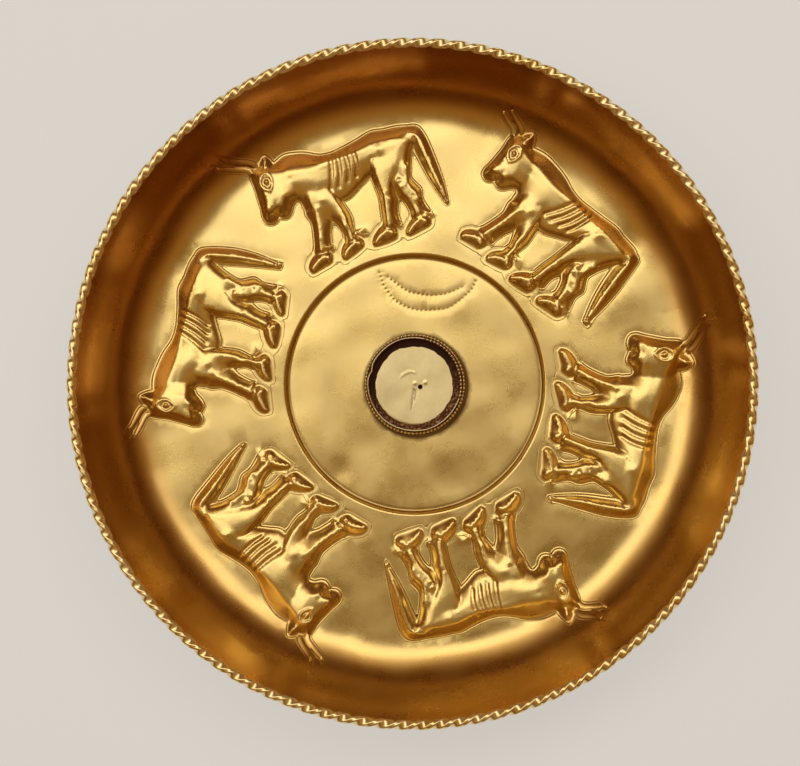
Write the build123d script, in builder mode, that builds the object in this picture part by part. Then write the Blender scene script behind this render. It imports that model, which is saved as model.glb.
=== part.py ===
"""A shallow offering bowl of hammered gold: six bulls walk round its floor, a twisted strip is soldered
on its lip, and a collar for a lost inlay stands on the sunk medallion in the middle.

Millimetres, +Z up. The origin is under the middle of the medallion, on the surface that it stands on.
"""
import os
from math import atan, atan2, cos, hypot, pi, radians, sin, tan

from build123d import *

os.makedirs("parts", exist_ok=True)

# Bowl: one sheet, with its sizes measured on the inner face. Its wall is an arc of an ellipse, drawn lip_trim
# degrees too far and then cut level.
sheet = 0.6
medallion_radius = 27.6
step_height = 1.5
step_run = 0.8
floor_radius = 56.0
wall_reach = 15.9
wall_rise = 24.8
wall_angle = 80.0
lip_trim = 5.0

# Frieze: the bulls stand on a ground circle and walk anticlockwise, each in its own bay of the bowl. The
# edges of a bay are turned by bay_shift degrees towards the bull's tail, which hangs behind it. A bay is cut
# from a blank, and the bull's strokes are rooted in it.
bull_count = 6
first_bull_bearing = 110.0
bay_shift = 4.0
hoof_gap = 2.0
relief_root = 1.0
hollow_wall = 0.7
least_hollow = 0.35
blank_depth = 2.0

# Twisted strip on the lip
strip_width = 2.1
strip_thickness = 0.7
strip_lay = 8.2
strip_steps = 8
strip_seat = 0.1

# Collar of the lost inlay, with a beaded wire round its foot and another on its lip
collar_bore = 20.0
collar_wall = 0.35
collar_height = 2.5
foot_bead = 0.8
lip_bead = 0.58
bead_pitch = 0.82
bead_waist = 0.6
wire_sides = 4
wire_seat = 0.05

# What is left inside the collar
disc_radius = 8.9
disc_thickness = 0.5
pin_hole = 0.8
pin_hole_depth = 0.3
pin_hole_place = (1.2, -0.6)
cement_lap = 0.4
cement_rise = 0.8
cement_fit = 0.02

# Places that follow from the sizes above
medallion_top = sheet
floor_top = medallion_top + step_height
step_slope = atan(step_height / step_run)
step_top_radius = medallion_radius + step_run
ground_radius = step_top_radius + hoof_gap
wall_centre_z = floor_top + wall_rise
lip_radius = floor_radius + wall_reach * sin(radians(wall_angle)) + sheet / 2
lip_z = wall_centre_z - wall_rise * cos(radians(wall_angle))


def layer(top, bottom):
    """One bay of the bowl between two depths below the inner face, cut level at the lip."""
    start = radians(90 - 180 / bull_count - bay_shift)
    first_edge = Plane(Vector(0, 0, 0), x_dir=(cos(start), sin(start), 0), z_dir=(sin(start), -cos(start), 0))
    with BuildPart() as shell:
        with BuildSketch(first_edge):
            with BuildLine():
                ends = []
                for depth in (top, bottom):
                    shift = depth * tan(step_slope / 2)
                    flat = Polyline(
                        (0, medallion_top - depth),
                        (medallion_radius + shift, medallion_top - depth),
                        (step_top_radius + shift, floor_top - depth),
                        (floor_radius, floor_top - depth),
                    )
                    wall = EllipticalCenterArc(
                        (floor_radius, wall_centre_z), wall_reach + depth, wall_rise + depth,
                        start_angle=-90, arc_size=wall_angle + lip_trim,
                    )
                    ends.append((flat @ 0, wall @ 1))
                Line(ends[0][0], ends[1][0])
                Line(ends[0][1], ends[1][1])
            make_face()
        revolve(axis=Axis.Z, revolution_arc=360 / bull_count)
        split(bisect_by=Plane.XY.offset(lip_z), keep=Keep.BOTTOM)
    return shell.part


def on_bowl(along, above):
    """The plane that touches the inner face at a place of the frieze: along the walk, and above the ground
    circle. It is worked out for the bull that stands across +Y, with its head towards -X.
    """
    reach = ground_radius + above
    length = hypot(along, reach)
    bearing = atan2(reach, along)
    turn = max(0.0, length - floor_radius) / wall_reach
    radius = min(length, floor_radius) + wall_reach * sin(turn)
    height = floor_top + wall_rise * (1 - cos(turn))
    slope = atan2(wall_rise * sin(turn), wall_reach * cos(turn))
    outwards = Vector(cos(bearing), sin(bearing), 0)
    normal = outwards * -sin(slope) + Vector(0, 0, cos(slope))
    place = outwards * radius + Vector(0, 0, height)
    return Plane(place, x_dir=Vector(0, 0, 1).cross(outwards), z_dir=normal)


# One bull, as strokes of the punch. A stroke is a raised ridge through stations (along, above, half width,
# height), where height is how far its crest stands over the floor.
TORSO = [(-11.6, 20.2, 4.6, 1.2), (-8.6, 19.2, 5.9, 1.7), (-5.2, 18.2, 6.2, 2.0), (-1.2, 17.3, 5.0, 2.0),
         (2.6, 17.5, 4.4, 1.9), (6.2, 18.5, 3.9, 1.7), (9.6, 18.5, 4.5, 1.9), (13.0, 19.6, 3.4, 1.7),
         (16.4, 21.0, 1.5, 1.1)]
HEAD = [(-15.0, 24.5, 2.0, 1.2), (-15.1, 21.6, 2.9, 1.7), (-15.8, 18.0, 2.3, 1.5), (-16.1, 14.0, 1.8, 1.0)]
JAW = [(-10.8, 19.4, 3.2, 1.5), (-12.6, 16.9, 2.2, 1.3), (-13.5, 14.2, 0.9, 0.8)]
EAR = [(-15.0, 23.8, 0.7, 0.9), (-14.2, 25.2, 0.6, 0.7), (-14.0, 26.6, 0.2, 0.3)]
LOWER_HORN = [(-16.8, 24.0, 0.6, 0.8), (-18.2, 24.9, 0.5, 0.6), (-22.3, 26.7, 0.4, 0.5),
              (-24.5, 29.2, 0.15, 0.3)]
UPPER_HORN = [(-16.2, 24.4, 0.6, 0.8), (-18.0, 26.9, 0.5, 0.6), (-21.8, 28.9, 0.4, 0.5),
              (-23.4, 31.2, 0.15, 0.3)]
LEADING_FORELEG = [(-6.0, 13.2, 2.2, 1.7), (-7.2, 9.4, 1.4, 1.4), (-8.6, 5.5, 0.9, 1.1),
                   (-9.4, 2.6, 1.0, 1.0)]
TRAILING_FORELEG = [(-5.0, 13.4, 2.2, 1.7), (-3.4, 9.4, 1.3, 1.4), (-2.6, 6.4, 0.9, 1.1),
                    (-2.2, 2.8, 1.0, 1.0)]
LEADING_HIND_LEG = [(10.2, 15.6, 2.8, 1.8), (9.4, 11.2, 1.7, 1.4), (8.4, 8.3, 1.1, 1.2),
                    (7.4, 4.8, 0.8, 1.0), (6.6, 2.6, 1.0, 1.0)]
TRAILING_HIND_LEG = [(14.0, 16.6, 2.2, 1.5), (12.9, 11.2, 1.4, 1.2), (14.2, 8.2, 1.1, 1.1),
                     (13.5, 5.0, 0.8, 1.0), (13.0, 2.6, 1.0, 1.0)]
HOOF = [(1.7, 0.9, 0.9, 0.8), (-0.5, 0.5, 1.2, 1.1), (-2.9, -0.7, 0.4, 0.5)]
HOOF_PLACES = [(-9.6, 1.2), (-2.2, 1.2), (5.6, 0.9), (12.9, 0.8)]
TAIL = [(15.0, 21.2, 1.3, 1.1), (18.2, 20.6, 1.2, 1.2), (19.4, 17.2, 1.2, 1.2), (19.9, 12.0, 1.2, 1.1),
        (20.2, 7.2, 0.8, 0.8), (20.3, 4.0, 0.2, 0.3)]

# The crest of a stroke: shares of its half width and of its height, from its edge to its middle
KEEL = [(0.0, 1.0)]
PLATEAU = [(0.55, 1.0)]


def faceted(sections, closed):
    """Flat facets through sections given as lists of corners: a ring, or a bar with flat ends."""
    facets = []
    following = sections[1:] + sections[:1] if closed else sections[1:]
    for near, far in zip(sections, following):
        for i, corner in enumerate(near):
            after = (i + 1) % len(near)
            facets.append(Face(Wire.make_polygon([corner, near[after], far[i]])))
            facets.append(Face(Wire.make_polygon([near[after], far[after], far[i]])))
    if not closed:
        facets += [Face(Wire.make_polygon(corners)) for corners in (sections[0], sections[-1])]
    return Solid(Shell(facets))


def stroke(stations, crest, root):
    """A ridge of flat facets, with its sections square to the line of its stations and its foot sunk below
    the floor by root.
    """
    places = [on_bowl(along, above) for along, above, _, _ in stations]
    points = [place.origin for place in places]
    sections = []
    for i, (place, (_, _, half_width, height)) in enumerate(zip(places, stations)):
        ahead = points[min(i + 1, len(points) - 1)] - points[max(i - 1, 0)]
        normal = place.z_dir
        heading = (ahead - normal * ahead.dot(normal)).normalized()
        flank = [(-half_width, -root), (-half_width, 0)]
        flank += [(-across * half_width, rise * height) for across, rise in crest]
        section = Plane(points[i], x_dir=normal.cross(heading), z_dir=heading)
        outline = flank + [(-x, y) for x, y in reversed(flank) if x]
        sections.append([section.from_local_coords(Vector(*corner)) for corner in outline])
    return faceted(sections, closed=False)


def carried(stations, place):
    """The same stroke at another place of the frieze."""
    return [(along + place[0], above + place[1], half_width, height)
            for along, above, half_width, height in stations]


def hollowed(stations):
    """The hollow that the punch leaves behind a stroke, one wall smaller all round."""
    return [(along, above, *(max(least_hollow, size - hollow_wall) for size in (half_width, height)))
            for along, above, half_width, height in stations]


PLATEAU_STROKES = (TORSO, HEAD, JAW)
KEEL_STROKES = (EAR, LOWER_HORN, UPPER_HORN, LEADING_FORELEG, TRAILING_FORELEG, LEADING_HIND_LEG,
                TRAILING_HIND_LEG, TAIL, *(carried(HOOF, place) for place in HOOF_PLACES))

with BuildPart() as bull:
    add([stroke(stations, PLATEAU, relief_root) for stations in PLATEAU_STROKES]
        + [stroke(stations, KEEL, relief_root) for stations in KEEL_STROKES], clean=False)

# A bay is a thick blank with the bull on it, and its back is then cut away one sheet below the inner face
with BuildPart() as bay:
    add(layer(0, blank_depth))
    add(bull.part, clean=False)
    add(layer(sheet, blank_depth + relief_root), mode=Mode.SUBTRACT, clean=False)
    add([stroke(hollowed(stations), PLATEAU, relief_root + sheet) for stations in (TORSO[:-1], HEAD[:-1])],
        mode=Mode.SUBTRACT, clean=False)

with BuildPart() as bowl:
    with PolarLocations(0, bull_count, start_angle=first_bull_bearing - 90):
        add(bay.part)
bowl.part.label = "bowl"


def seated(radius, sections, seat_z, filed):
    """Corners for a ring's sections, given as (bearing, [(outwards, upwards), ...]), with the ring's lowest
    points filed flat by an amount and stood on a seat.
    """
    lowest = min(upwards for _, corners in sections for _, upwards in corners) + filed
    return [[Vector((radius + outwards) * cos(bearing), (radius + outwards) * sin(bearing),
                    seat_z + max(upwards - lowest, 0)) for outwards, upwards in corners]
            for bearing, corners in sections]


# The strip turns over as it goes round: on its top side the edges run from the outside in, anticlockwise
strip_turns = round(2 * pi * lip_radius / strip_lay)
strip_corners = [(strip_width / 2, strip_thickness / 2), (-strip_width / 2, strip_thickness / 2),
                 (-strip_width / 2, -strip_thickness / 2), (strip_width / 2, -strip_thickness / 2)]
strip_sections = []
for step in range(strip_turns * strip_steps):
    twist = 2 * pi * step / strip_steps
    twisted = [(x * cos(twist) - y * sin(twist), x * sin(twist) + y * cos(twist)) for x, y in strip_corners]
    strip_sections.append((twist / strip_turns, twisted))

with BuildPart() as rim_strip:
    add(faceted(seated(lip_radius, strip_sections, lip_z, strip_seat), closed=True), clean=False)
rim_strip.part.label = "rim_strip"

# The collar is a band on edge, soldered to the medallion
collar_radius = collar_bore / 2 + collar_wall
collar_top = medallion_top + collar_height

with BuildPart() as collar:
    with BuildSketch(Plane.XZ):
        with Locations((collar_bore / 2, medallion_top)):
            Rectangle(collar_wall, collar_height, align=(Align.MIN, Align.MIN))
    revolve(axis=Axis.Z)
collar.part.label = "collar"


def beaded_wire(radius, bead, seat_z):
    """A ring of wire notched into beads, filed flat where it is soldered down."""
    beads = round(2 * pi * radius / bead_pitch)
    sections = []
    for half in range(2 * beads):
        reach = bead / 2 if half % 2 == 0 else bead_waist * bead / 2
        turns = [2 * pi * (side + 0.5) / wire_sides for side in range(wire_sides)]
        sections.append((pi * half / beads, [(reach * cos(turn), reach * sin(turn)) for turn in turns]))
    with BuildPart() as wire:
        add(faceted(seated(radius, sections, seat_z, wire_seat), closed=True), clean=False)
    return wire.part


foot_beaded_wire = beaded_wire(collar_radius + foot_bead / 2, foot_bead, medallion_top)
foot_beaded_wire.label = "foot_beaded_wire"
upper_beaded_wire = beaded_wire(collar_radius - collar_wall / 2, lip_bead, collar_top)
upper_beaded_wire.label = "upper_beaded_wire"

# The pale disc that backed the inlay, with the hole of its pin
disc_top = medallion_top + disc_thickness

with BuildPart() as setting_disc:
    with BuildSketch(Plane.XY.offset(medallion_top)):
        Circle(disc_radius)
    extrude(amount=disc_thickness)
    with Locations((*pin_hole_place, disc_top)):
        Hole(pin_hole / 2, depth=pin_hole_depth)
setting_disc.part.label = "setting_disc"

# Old cement fills the groove round the disc, laps onto it and climbs the collar
with BuildPart() as cement_ring:
    with BuildSketch(Plane.XZ):
        with BuildLine():
            Polyline((disc_radius - cement_lap, disc_top), (disc_radius + cement_fit, disc_top),
                     (disc_radius + cement_fit, medallion_top), (collar_bore / 2, medallion_top),
                     (collar_bore / 2, disc_top + cement_rise), close=True)
        make_face()
    revolve(axis=Axis.Z)
cement_ring.part.label = "cement_ring"

for piece in (bowl.part, rim_strip.part, collar.part, upper_beaded_wire, foot_beaded_wire, setting_disc.part,
              cement_ring.part):
    export_step(piece, f"parts/{piece.label}.step")
    print(piece.label, round(piece.volume, 1), "mm3")
print("overall", round(2 * (lip_radius + hypot(strip_width, strip_thickness) / 2), 2), "mm across,",
      round(rim_strip.part.bounding_box().max.Z, 2), "mm high,", strip_turns, "turns of the strip")
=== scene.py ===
# %% [markdown]
# # A gold phiale
# A phiale is a shallow bowl for pouring offerings. This one is a single sheet of gold. Its maker hammered it
# hollow, raised six bulls from behind with punches, and then sharpened them from the front with a chasing
# tool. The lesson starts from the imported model, which gives every piece its place and size, and dresses each
# piece in turn.

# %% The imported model
from math import cos, pi, radians, sin

import bpy
import numpy as np
from mathutils import Matrix, Vector
from mathutils.geometry import delaunay_2d_cdt


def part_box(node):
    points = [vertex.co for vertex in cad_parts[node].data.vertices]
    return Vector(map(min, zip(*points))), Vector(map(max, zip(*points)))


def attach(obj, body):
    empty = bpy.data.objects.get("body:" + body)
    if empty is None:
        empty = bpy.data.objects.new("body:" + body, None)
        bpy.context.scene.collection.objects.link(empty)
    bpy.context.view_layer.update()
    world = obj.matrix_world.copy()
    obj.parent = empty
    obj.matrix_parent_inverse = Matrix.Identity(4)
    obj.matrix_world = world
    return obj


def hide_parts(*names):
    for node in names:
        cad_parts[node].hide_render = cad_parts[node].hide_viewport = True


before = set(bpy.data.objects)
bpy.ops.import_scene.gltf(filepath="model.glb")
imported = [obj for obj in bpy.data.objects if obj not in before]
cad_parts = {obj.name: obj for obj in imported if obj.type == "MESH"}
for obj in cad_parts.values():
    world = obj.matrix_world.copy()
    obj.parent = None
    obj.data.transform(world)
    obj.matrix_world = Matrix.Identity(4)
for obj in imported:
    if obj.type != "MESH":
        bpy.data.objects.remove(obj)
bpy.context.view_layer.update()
MM = 0.001
print("pieces to dress:", sorted(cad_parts))

# %% [markdown]
# ## Sizes
# Blender works in metres, and a goldsmith in millimetres. So the sizes below are in millimetres, and a piece
# is turned to metres once, when its mesh is made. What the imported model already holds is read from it.

# %% Sizes of the bowl
sheet = 0.6
medallion_radius = 27.6
step_run = 0.8
step_height = 1.5
floor_radius = 56.0
wall_reach = 15.9
wall_rise = 24.8
ground_radius = 30.4
bull_count = 6
first_bull_bearing = 110.0

lip_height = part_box("bowl")[1].z / MM
lip_arc = np.arccos(1 - (lip_height - sheet - step_height) / wall_rise)
lip_reach = floor_radius + wall_reach * lip_arc
print(f"the lip is {lip_height:.2f} mm up, and {lip_reach:.1f} mm from the middle along the sheet")

# %% [markdown]
# ## Three helpers
# A mesh comes from plain lists of points and faces. A colour is written as a maker sees it on a screen, in
# hex, and one function turns it to the linear light that shaders reckon with. A node tree, for a shader or for
# geometry, grows by one function that adds a node with its settings and its links.

# %% A mesh, a colour and a node
def new_piece(name, points, faces):
    """A mesh object from points in millimetres."""
    mesh = bpy.data.meshes.new(name)
    mesh.from_pydata((np.asarray(points) * MM).tolist(), [], faces)
    mesh.update()
    mesh.shade_smooth()
    piece = bpy.data.objects.new(name, mesh)
    bpy.context.scene.collection.objects.link(piece)
    return piece


def colour(code, alpha=1.0):
    """An sRGB hex colour as linear light."""
    parts = [int(code[i:i + 2], 16) / 255 for i in (1, 3, 5)]
    return (*[c / 12.92 if c <= 0.04045 else ((c + 0.055) / 1.055) ** 2.4 for c in parts], alpha)


def add_node(tree, kind, inputs=None, **settings):
    """Adds a node. A setting is a property of it, and an input is a value or the socket that feeds it."""
    node = tree.nodes.new(kind)
    for key, value in settings.items():
        setattr(node, key, value)
    for key, value in (inputs or {}).items():
        if isinstance(value, bpy.types.NodeSocket):
            tree.links.new(value, node.inputs[key])
        else:
            node.inputs[key].default_value = value
    return node


def set_ramp(ramp, stops):
    """Gives a colour ramp its stops, as (place, colour)."""
    while len(ramp.elements) < len(stops):
        ramp.elements.new(0.5)
    for element, (place, tint) in zip(ramp.elements, stops):
        element.position = place
        element.color = tint


# %% [markdown]
# ## The line of the sheet
# Every place on the bowl is given on the flattened sheet, as x and y in millimetres from the middle. The
# bowl's own curve then lifts it: flat medallion, small step, flat floor and a wall that is an arc of an ellipse. A height
# above the sheet is measured square to it, as a punch drives it.

# %% From the flat sheet to the bowl
def profile(reach):
    """Radius and height of the inner face at a distance from the middle along the sheet."""
    share = np.clip((reach - medallion_radius) / step_run, 0, 1)
    turn = np.maximum(reach - floor_radius, 0) / wall_reach
    radius = np.minimum(reach, floor_radius) + wall_reach * np.sin(turn)
    height = sheet + step_height * share * share * (3 - 2 * share) + wall_rise * (1 - np.cos(turn))
    return radius, height


def on_sheet(flat, above):
    """Points of the bowl from places on the flattened sheet and heights above its inner face."""
    reach = np.hypot(flat[:, 0], flat[:, 1])
    bearing = np.arctan2(flat[:, 1], flat[:, 0])
    small = 0.05
    radius, height = profile(reach)
    further_radius, further_height = profile(reach + small)
    nearer_radius, nearer_height = profile(np.maximum(reach - small, 0))
    run, rise = further_radius - nearer_radius, further_height - nearer_height
    length = np.hypot(run, rise)
    radius = radius - above * rise / length
    height = height + above * run / length
    return np.column_stack([radius * np.cos(bearing), radius * np.sin(bearing), height])


# %% [markdown]
# ## Drawing a bull
# All six bulls come from one drawing, in the bull's own frame: the first number is the place along its walk,
# with the head at the negative end, and the second is the distance from the bowl's middle. An outline needs
# only the points that its shape needs, and a smooth curve is laid through them.

# %% Curves, distances and insides
def curve_through(points, pitch, closed=False):
    """Evenly spaced points on a smooth curve (a Catmull-Rom spline). A point given twice is a sharp corner."""
    given = np.asarray(points, float)
    before = np.vstack([given[-1:] if closed else 2 * given[:1] - given[1:2], given])
    after = given[:2] if closed else 2 * given[-1:] - given[-2:-1]
    padded = np.vstack([before, after])
    spans = len(given) if closed else len(given) - 1
    share = np.linspace(0, 1, 12, endpoint=False)[:, None]
    dense = []
    for i in range(spans):
        a, b, c, d = padded[i:i + 4]
        if (b == c).all():
            continue
        dense.append(0.5 * (2 * b + (c - a) * share + (2 * a - 5 * b + 4 * c - d) * share ** 2
                            + (3 * b - a - 3 * c + d) * share ** 3))
    dense = np.vstack(dense + [given[:1] if closed else given[-1:]])
    along = np.concatenate([[0], np.cumsum(np.hypot(*np.diff(dense, axis=0).T))])
    count = max(int(round(along[-1] / pitch)), 2)
    stations = np.linspace(0, along[-1], count + 1)
    if closed:
        stations = stations[:-1]
    return np.column_stack([np.interp(stations, along, dense[:, axis]) for axis in (0, 1)])


def distance_to(points, line, closed=False):
    """The distance from each point to a line of short straight runs."""
    ends = np.roll(line, -1, axis=0) if closed else line[1:]
    starts = line if closed else line[:-1]
    runs = ends - starts
    lengths = np.maximum((runs ** 2).sum(1), 1e-9)
    nearest = np.full(len(points), np.inf)
    for start, run, length in zip(starts, runs, lengths):
        offset = points - start
        share = np.clip(offset @ run / length, 0, 1)
        gap = offset - share[:, None] * run
        nearest = np.minimum(nearest, (gap ** 2).sum(1))
    return np.sqrt(nearest)


def depth_inside(points, outline):
    """How far each point lies inside a closed outline, negative outside."""
    inside = np.zeros(len(points), bool)
    for (x0, y0), (x1, y1) in zip(outline, np.roll(outline, -1, axis=0)):
        if y0 != y1:
            crosses = (y0 > points[:, 1]) != (y1 > points[:, 1])
            inside ^= crosses & (points[:, 0] < x0 + (x1 - x0) * (points[:, 1] - y0) / (y1 - y0))
    return np.where(inside, 1, -1) * distance_to(points, outline, closed=True)


# %% [markdown]
# ## The parts of the bull
# A part is an outline, the crests inside it, and their height. The gold rises straight from the outline to the
# nearest crest, which makes the crisp facets of a punched relief. A closed crest is a plateau. The far legs are
# lowest, the trunk lies over them, and then come the near legs, the tail and the head, as a body would overlap.

# %% Far legs
FAR_FORELEG = [(-5.0, 43.5), (-9.2, 43.5), (-8.9, 40.6), (-9.1, 39.0), (-9.5, 37.3), (-10.0, 35.6), (-10.5, 33.9),
               (-7.0, 33.9), (-6.7, 34.9), (-6.4, 36.1), (-5.9, 37.7), (-5.1, 39.0), (-4.6, 40.5)]
FAR_FORELEG_CREST = [(-6.6, 43.4), (-7.2, 41.6), (-7.6, 39.6), (-8.0, 37.9), (-8.3, 36.7), (-8.6, 35.6), (-9.0, 33.6)]
FAR_FORE_HOOF = [(-12.5, 30.3), (-12.5, 30.3), (-12.9, 31.5), (-12.3, 32.7), (-11.0, 33.7), (-9.4, 34.3), (-7.6, 34.1),
                 (-7.2, 32.6), (-7.9, 31.1), (-7.9, 31.1), (-10.2, 30.7)]
FAR_FORE_HOOF_CREST = [(-12.3, 30.8), (-11.4, 31.7), (-10.1, 32.4), (-8.9, 32.9), (-8.9, 32.9), (-8.1, 32.0)]
FAR_HIND_LEG = [(10.2, 44.5), (10.4, 41.0), (10.7, 39.5), (11.5, 38.4), (11.9, 37.2), (12.1, 35.5), (12.0, 34.0),
                (15.6, 34.0), (15.6, 35.2), (15.3, 36.6), (15.3, 37.8), (15.7, 39.5), (15.0, 41.0), (14.5, 42.4),
                (14.8, 43.9), (15.6, 46.0), (17.0, 49.3), (13.0, 49.0)]
FAR_HIND_CREST = [(11.9, 42.8), (12.2, 40.6), (12.9, 38.6), (13.3, 37.2), (13.4, 35.6), (13.5, 33.6)]
FAR_HIND_TENDON = [(14.4, 45.0), (13.6, 42.8), (13.4, 40.6), (14.2, 38.9), (14.4, 37.6)]
FAR_HIND_HOOF = [(9.8, 30.7), (9.8, 30.7), (9.6, 31.8), (10.6, 33.0), (12.1, 34.1), (13.8, 34.5), (15.3, 34.0),
                 (15.6, 32.6), (15.0, 31.4), (15.0, 31.4), (12.4, 31.0)]
FAR_HIND_HOOF_CREST = [(10.1, 31.2), (11.0, 32.2), (12.4, 33.0), (13.7, 33.4), (13.7, 33.4), (14.5, 32.4)]

# %% Trunk
TRUNK = [(-12.7, 55.3), (-10.0, 56.3), (-7.7, 56.0), (-5.3, 55.2), (-2.7, 53.8), (0.0, 53.3), (2.7, 53.5),
         (6.0, 54.0), (9.7, 54.7), (12.3, 54.2), (15.7, 53.7), (18.2, 52.6), (18.3, 49.8), (17.0, 48.6),
         (15.6, 46.2), (14.4, 43.8), (12.0, 43.2), (9.5, 44.4), (7.3, 46.2), (4.0, 45.0), (2.1, 44.0),
         (0.1, 43.2), (-3.0, 43.2), (-5.6, 42.3), (-8.6, 42.4), (-9.3, 44.0), (-9.6, 46.0), (-10.7, 46.6),
         (-12.4, 47.6), (-14.0, 50.5), (-14.0, 53.8)]
TRUNK_PLATEAU = [(-13.2, 53.3), (-10.0, 53.1), (-6.0, 52.3), (-0.7, 52.0), (3.0, 51.9), (6.0, 51.9), (9.3, 52.3),
                 (14.0, 51.6), (15.4, 50.6), (13.8, 49.6), (11.0, 49.8), (8.0, 50.8), (3.0, 50.9), (-1.0, 50.7),
                 (-5.0, 50.5), (-8.5, 51.4), (-12.6, 52.0)]

# %% Near legs and tail
NEAR_FORELEG = [(-8.4, 46.5), (-8.3, 43.6), (-7.4, 42.4), (-5.6, 40.9), (-4.3, 39.3), (-3.6, 37.9), (-3.1, 36.4),
                (-3.3, 34.0), (-0.8, 34.0), (-1.1, 35.6), (-0.9, 37.0), (-0.6, 38.4), (-0.7, 39.9), (-1.1, 41.5),
                (-1.7, 44.0), (-3.4, 47.4), (-6.0, 48.4)]
SHOULDER = [(-2.6, 39.6), (-2.9, 41.2), (-3.9, 42.7), (-5.9, 42.9), (-7.4, 43.8), (-7.2, 46.2), (-5.6, 47.0),
            (-3.7, 45.8), (-2.5, 43.4), (-2.0, 41.0)]
NEAR_FORE_CREST = [(-2.2, 41.2), (-2.1, 39.2), (-2.3, 37.7), (-1.9, 36.6), (-1.9, 35.2), (-2.1, 33.4)]
NEAR_FORE_HOOF = [(-5.0, 30.5), (-5.0, 30.5), (-5.2, 31.9), (-4.5, 33.3), (-3.1, 34.5), (-1.5, 34.8), (-0.1, 34.0),
                  (0.2, 32.9), (-0.3, 32.0), (-0.3, 32.0), (-2.4, 31.2)]
NEAR_FORE_HOOF_CREST = [(-4.8, 31.0), (-3.9, 32.1), (-2.6, 32.9), (-1.3, 33.4), (-1.3, 33.4), (-0.6, 32.6)]
NEAR_HIND_LEG = [(7.0, 48.2), (6.7, 45.6), (6.8, 43.2), (6.8, 40.8), (6.6, 39.4), (6.2, 37.6), (5.8, 35.6),
                 (5.5, 34.0), (8.7, 34.0), (9.1, 35.8), (9.5, 37.4), (10.2, 38.8), (10.4, 40.6), (11.0, 42.6),
                 (12.4, 45.2), (13.8, 47.2), (14.8, 50.4), (12.0, 51.8), (8.8, 51.0)]
THIGH = [(8.1, 48.6), (7.8, 45.2), (7.7, 42.2), (8.1, 40.6), (9.0, 41.2), (9.6, 42.8), (10.9, 44.6), (12.3, 46.2),
         (13.2, 48.6), (13.2, 50.2), (11.0, 50.9), (9.2, 50.2)]
NEAR_HIND_CREST = [(8.1, 41.4), (7.9, 39.6), (7.5, 38.0), (7.1, 36.2), (6.8, 34.9), (6.7, 33.4)]
NEAR_HIND_HOOF = [(2.2, 31.2), (2.2, 31.2), (2.1, 32.3), (3.1, 33.5), (4.6, 34.5), (6.4, 34.9), (7.8, 34.2),
                  (7.8, 32.6), (7.2, 31.2), (7.2, 31.2), (4.8, 31.0)]
NEAR_HIND_HOOF_CREST = [(2.5, 31.6), (3.3, 32.4), (4.5, 33.0), (5.8, 33.5), (5.8, 33.5), (6.9, 32.5)]
TAIL = [(14.6, 52.4), (17.2, 53.1), (19.6, 52.4), (20.5, 50.0), (20.8, 46.0), (20.85, 41.5), (20.7, 38.2),
        (20.2, 34.6), (20.2, 34.6), (19.5, 36.9), (18.7, 40.0), (18.1, 43.2), (17.6, 47.0), (17.3, 49.6), (16.2, 50.6)]
TAIL_CREST = [(14.8, 51.6), (17.2, 51.7), (18.8, 50.6), (19.2, 48.0), (19.4, 44.6), (19.7, 41.0), (19.95, 38.6),
              (20.15, 36.6), (20.2, 35.0)]

# %% Head, ear and horns
HEAD = [(-17.9, 55.0), (-17.9, 52.0), (-18.0, 50.0), (-18.2, 47.0), (-18.4, 45.4), (-18.0, 44.1), (-16.8, 43.6),
        (-15.7, 44.1), (-15.2, 44.6), (-15.2, 44.6), (-14.7, 44.1), (-13.6, 43.8), (-12.6, 44.4), (-11.7, 45.7),
        (-10.6, 46.6), (-9.8, 48.2), (-10.2, 50.4), (-10.8, 53.0), (-12.2, 55.2), (-14.2, 56.2), (-16.4, 56.0)]
FOREHEAD = [(-16.3, 54.2), (-16.6, 52.0), (-16.4, 50.0), (-16.6, 48.2), (-17.2, 46.4), (-16.4, 46.2), (-15.0, 46.8),
            (-13.8, 46.6), (-13.3, 47.5), (-12.6, 48.3), (-12.8, 50.0), (-13.4, 52.4), (-13.9, 54.2), (-15.2, 54.8)]
EAR = [(-15.8, 54.6), (-15.9, 56.4), (-14.0, 58.1), (-14.0, 58.1), (-13.0, 56.6), (-13.1, 55.0), (-14.6, 54.1)]
EAR_CREST = [(-14.9, 54.7), (-14.5, 56.0), (-14.1, 57.4)]
FRONT_HORN = [(-17.9, 54.9), (-18.6, 55.9), (-20.0, 56.7), (-22.1, 57.6), (-23.9, 58.8), (-24.8, 60.4), (-24.8, 60.4),
              (-23.7, 59.5), (-22.0, 58.7), (-20.0, 57.8), (-18.3, 57.1), (-17.0, 56.2), (-16.6, 55.2)]
FRONT_HORN_CREST = [(-17.2, 55.3), (-18.4, 56.5), (-20.0, 57.25), (-22.1, 58.15), (-23.8, 59.2)]
REAR_HORN = [(-16.5, 56.2), (-17.2, 57.0), (-18.6, 57.8), (-20.4, 58.7), (-22.2, 59.9), (-23.3, 61.9), (-23.3, 61.9),
             (-21.3, 60.4), (-19.6, 59.5), (-18.0, 58.8), (-16.4, 57.9), (-15.8, 56.8)]
REAR_HORN_CREST = [(-16.3, 57.0), (-18.3, 58.3), (-20.1, 59.15), (-21.9, 60.3)]

# %% How high each part stands, and how round it is
def leg_height(points):
    """A leg is lower at the pastern than where it joins the trunk."""
    return np.interp(points[:, 1], [33, 36, 38, 41, 46], [1.0, 1.15, 1.25, 1.35, 1.55])


def trunk_height(points):
    """The trunk swells over the shoulder and the haunch."""
    x, y = points.T
    shoulder = np.exp(-((x + 6.0) / 4.2) ** 2 - ((y - 49.0) / 4.5) ** 2)
    haunch = np.exp(-((x - 10.0) / 3.6) ** 2 - ((y - 50.0) / 4.0) ** 2)
    return 1.75 + 0.30 * shoulder + 0.30 * haunch


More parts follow.
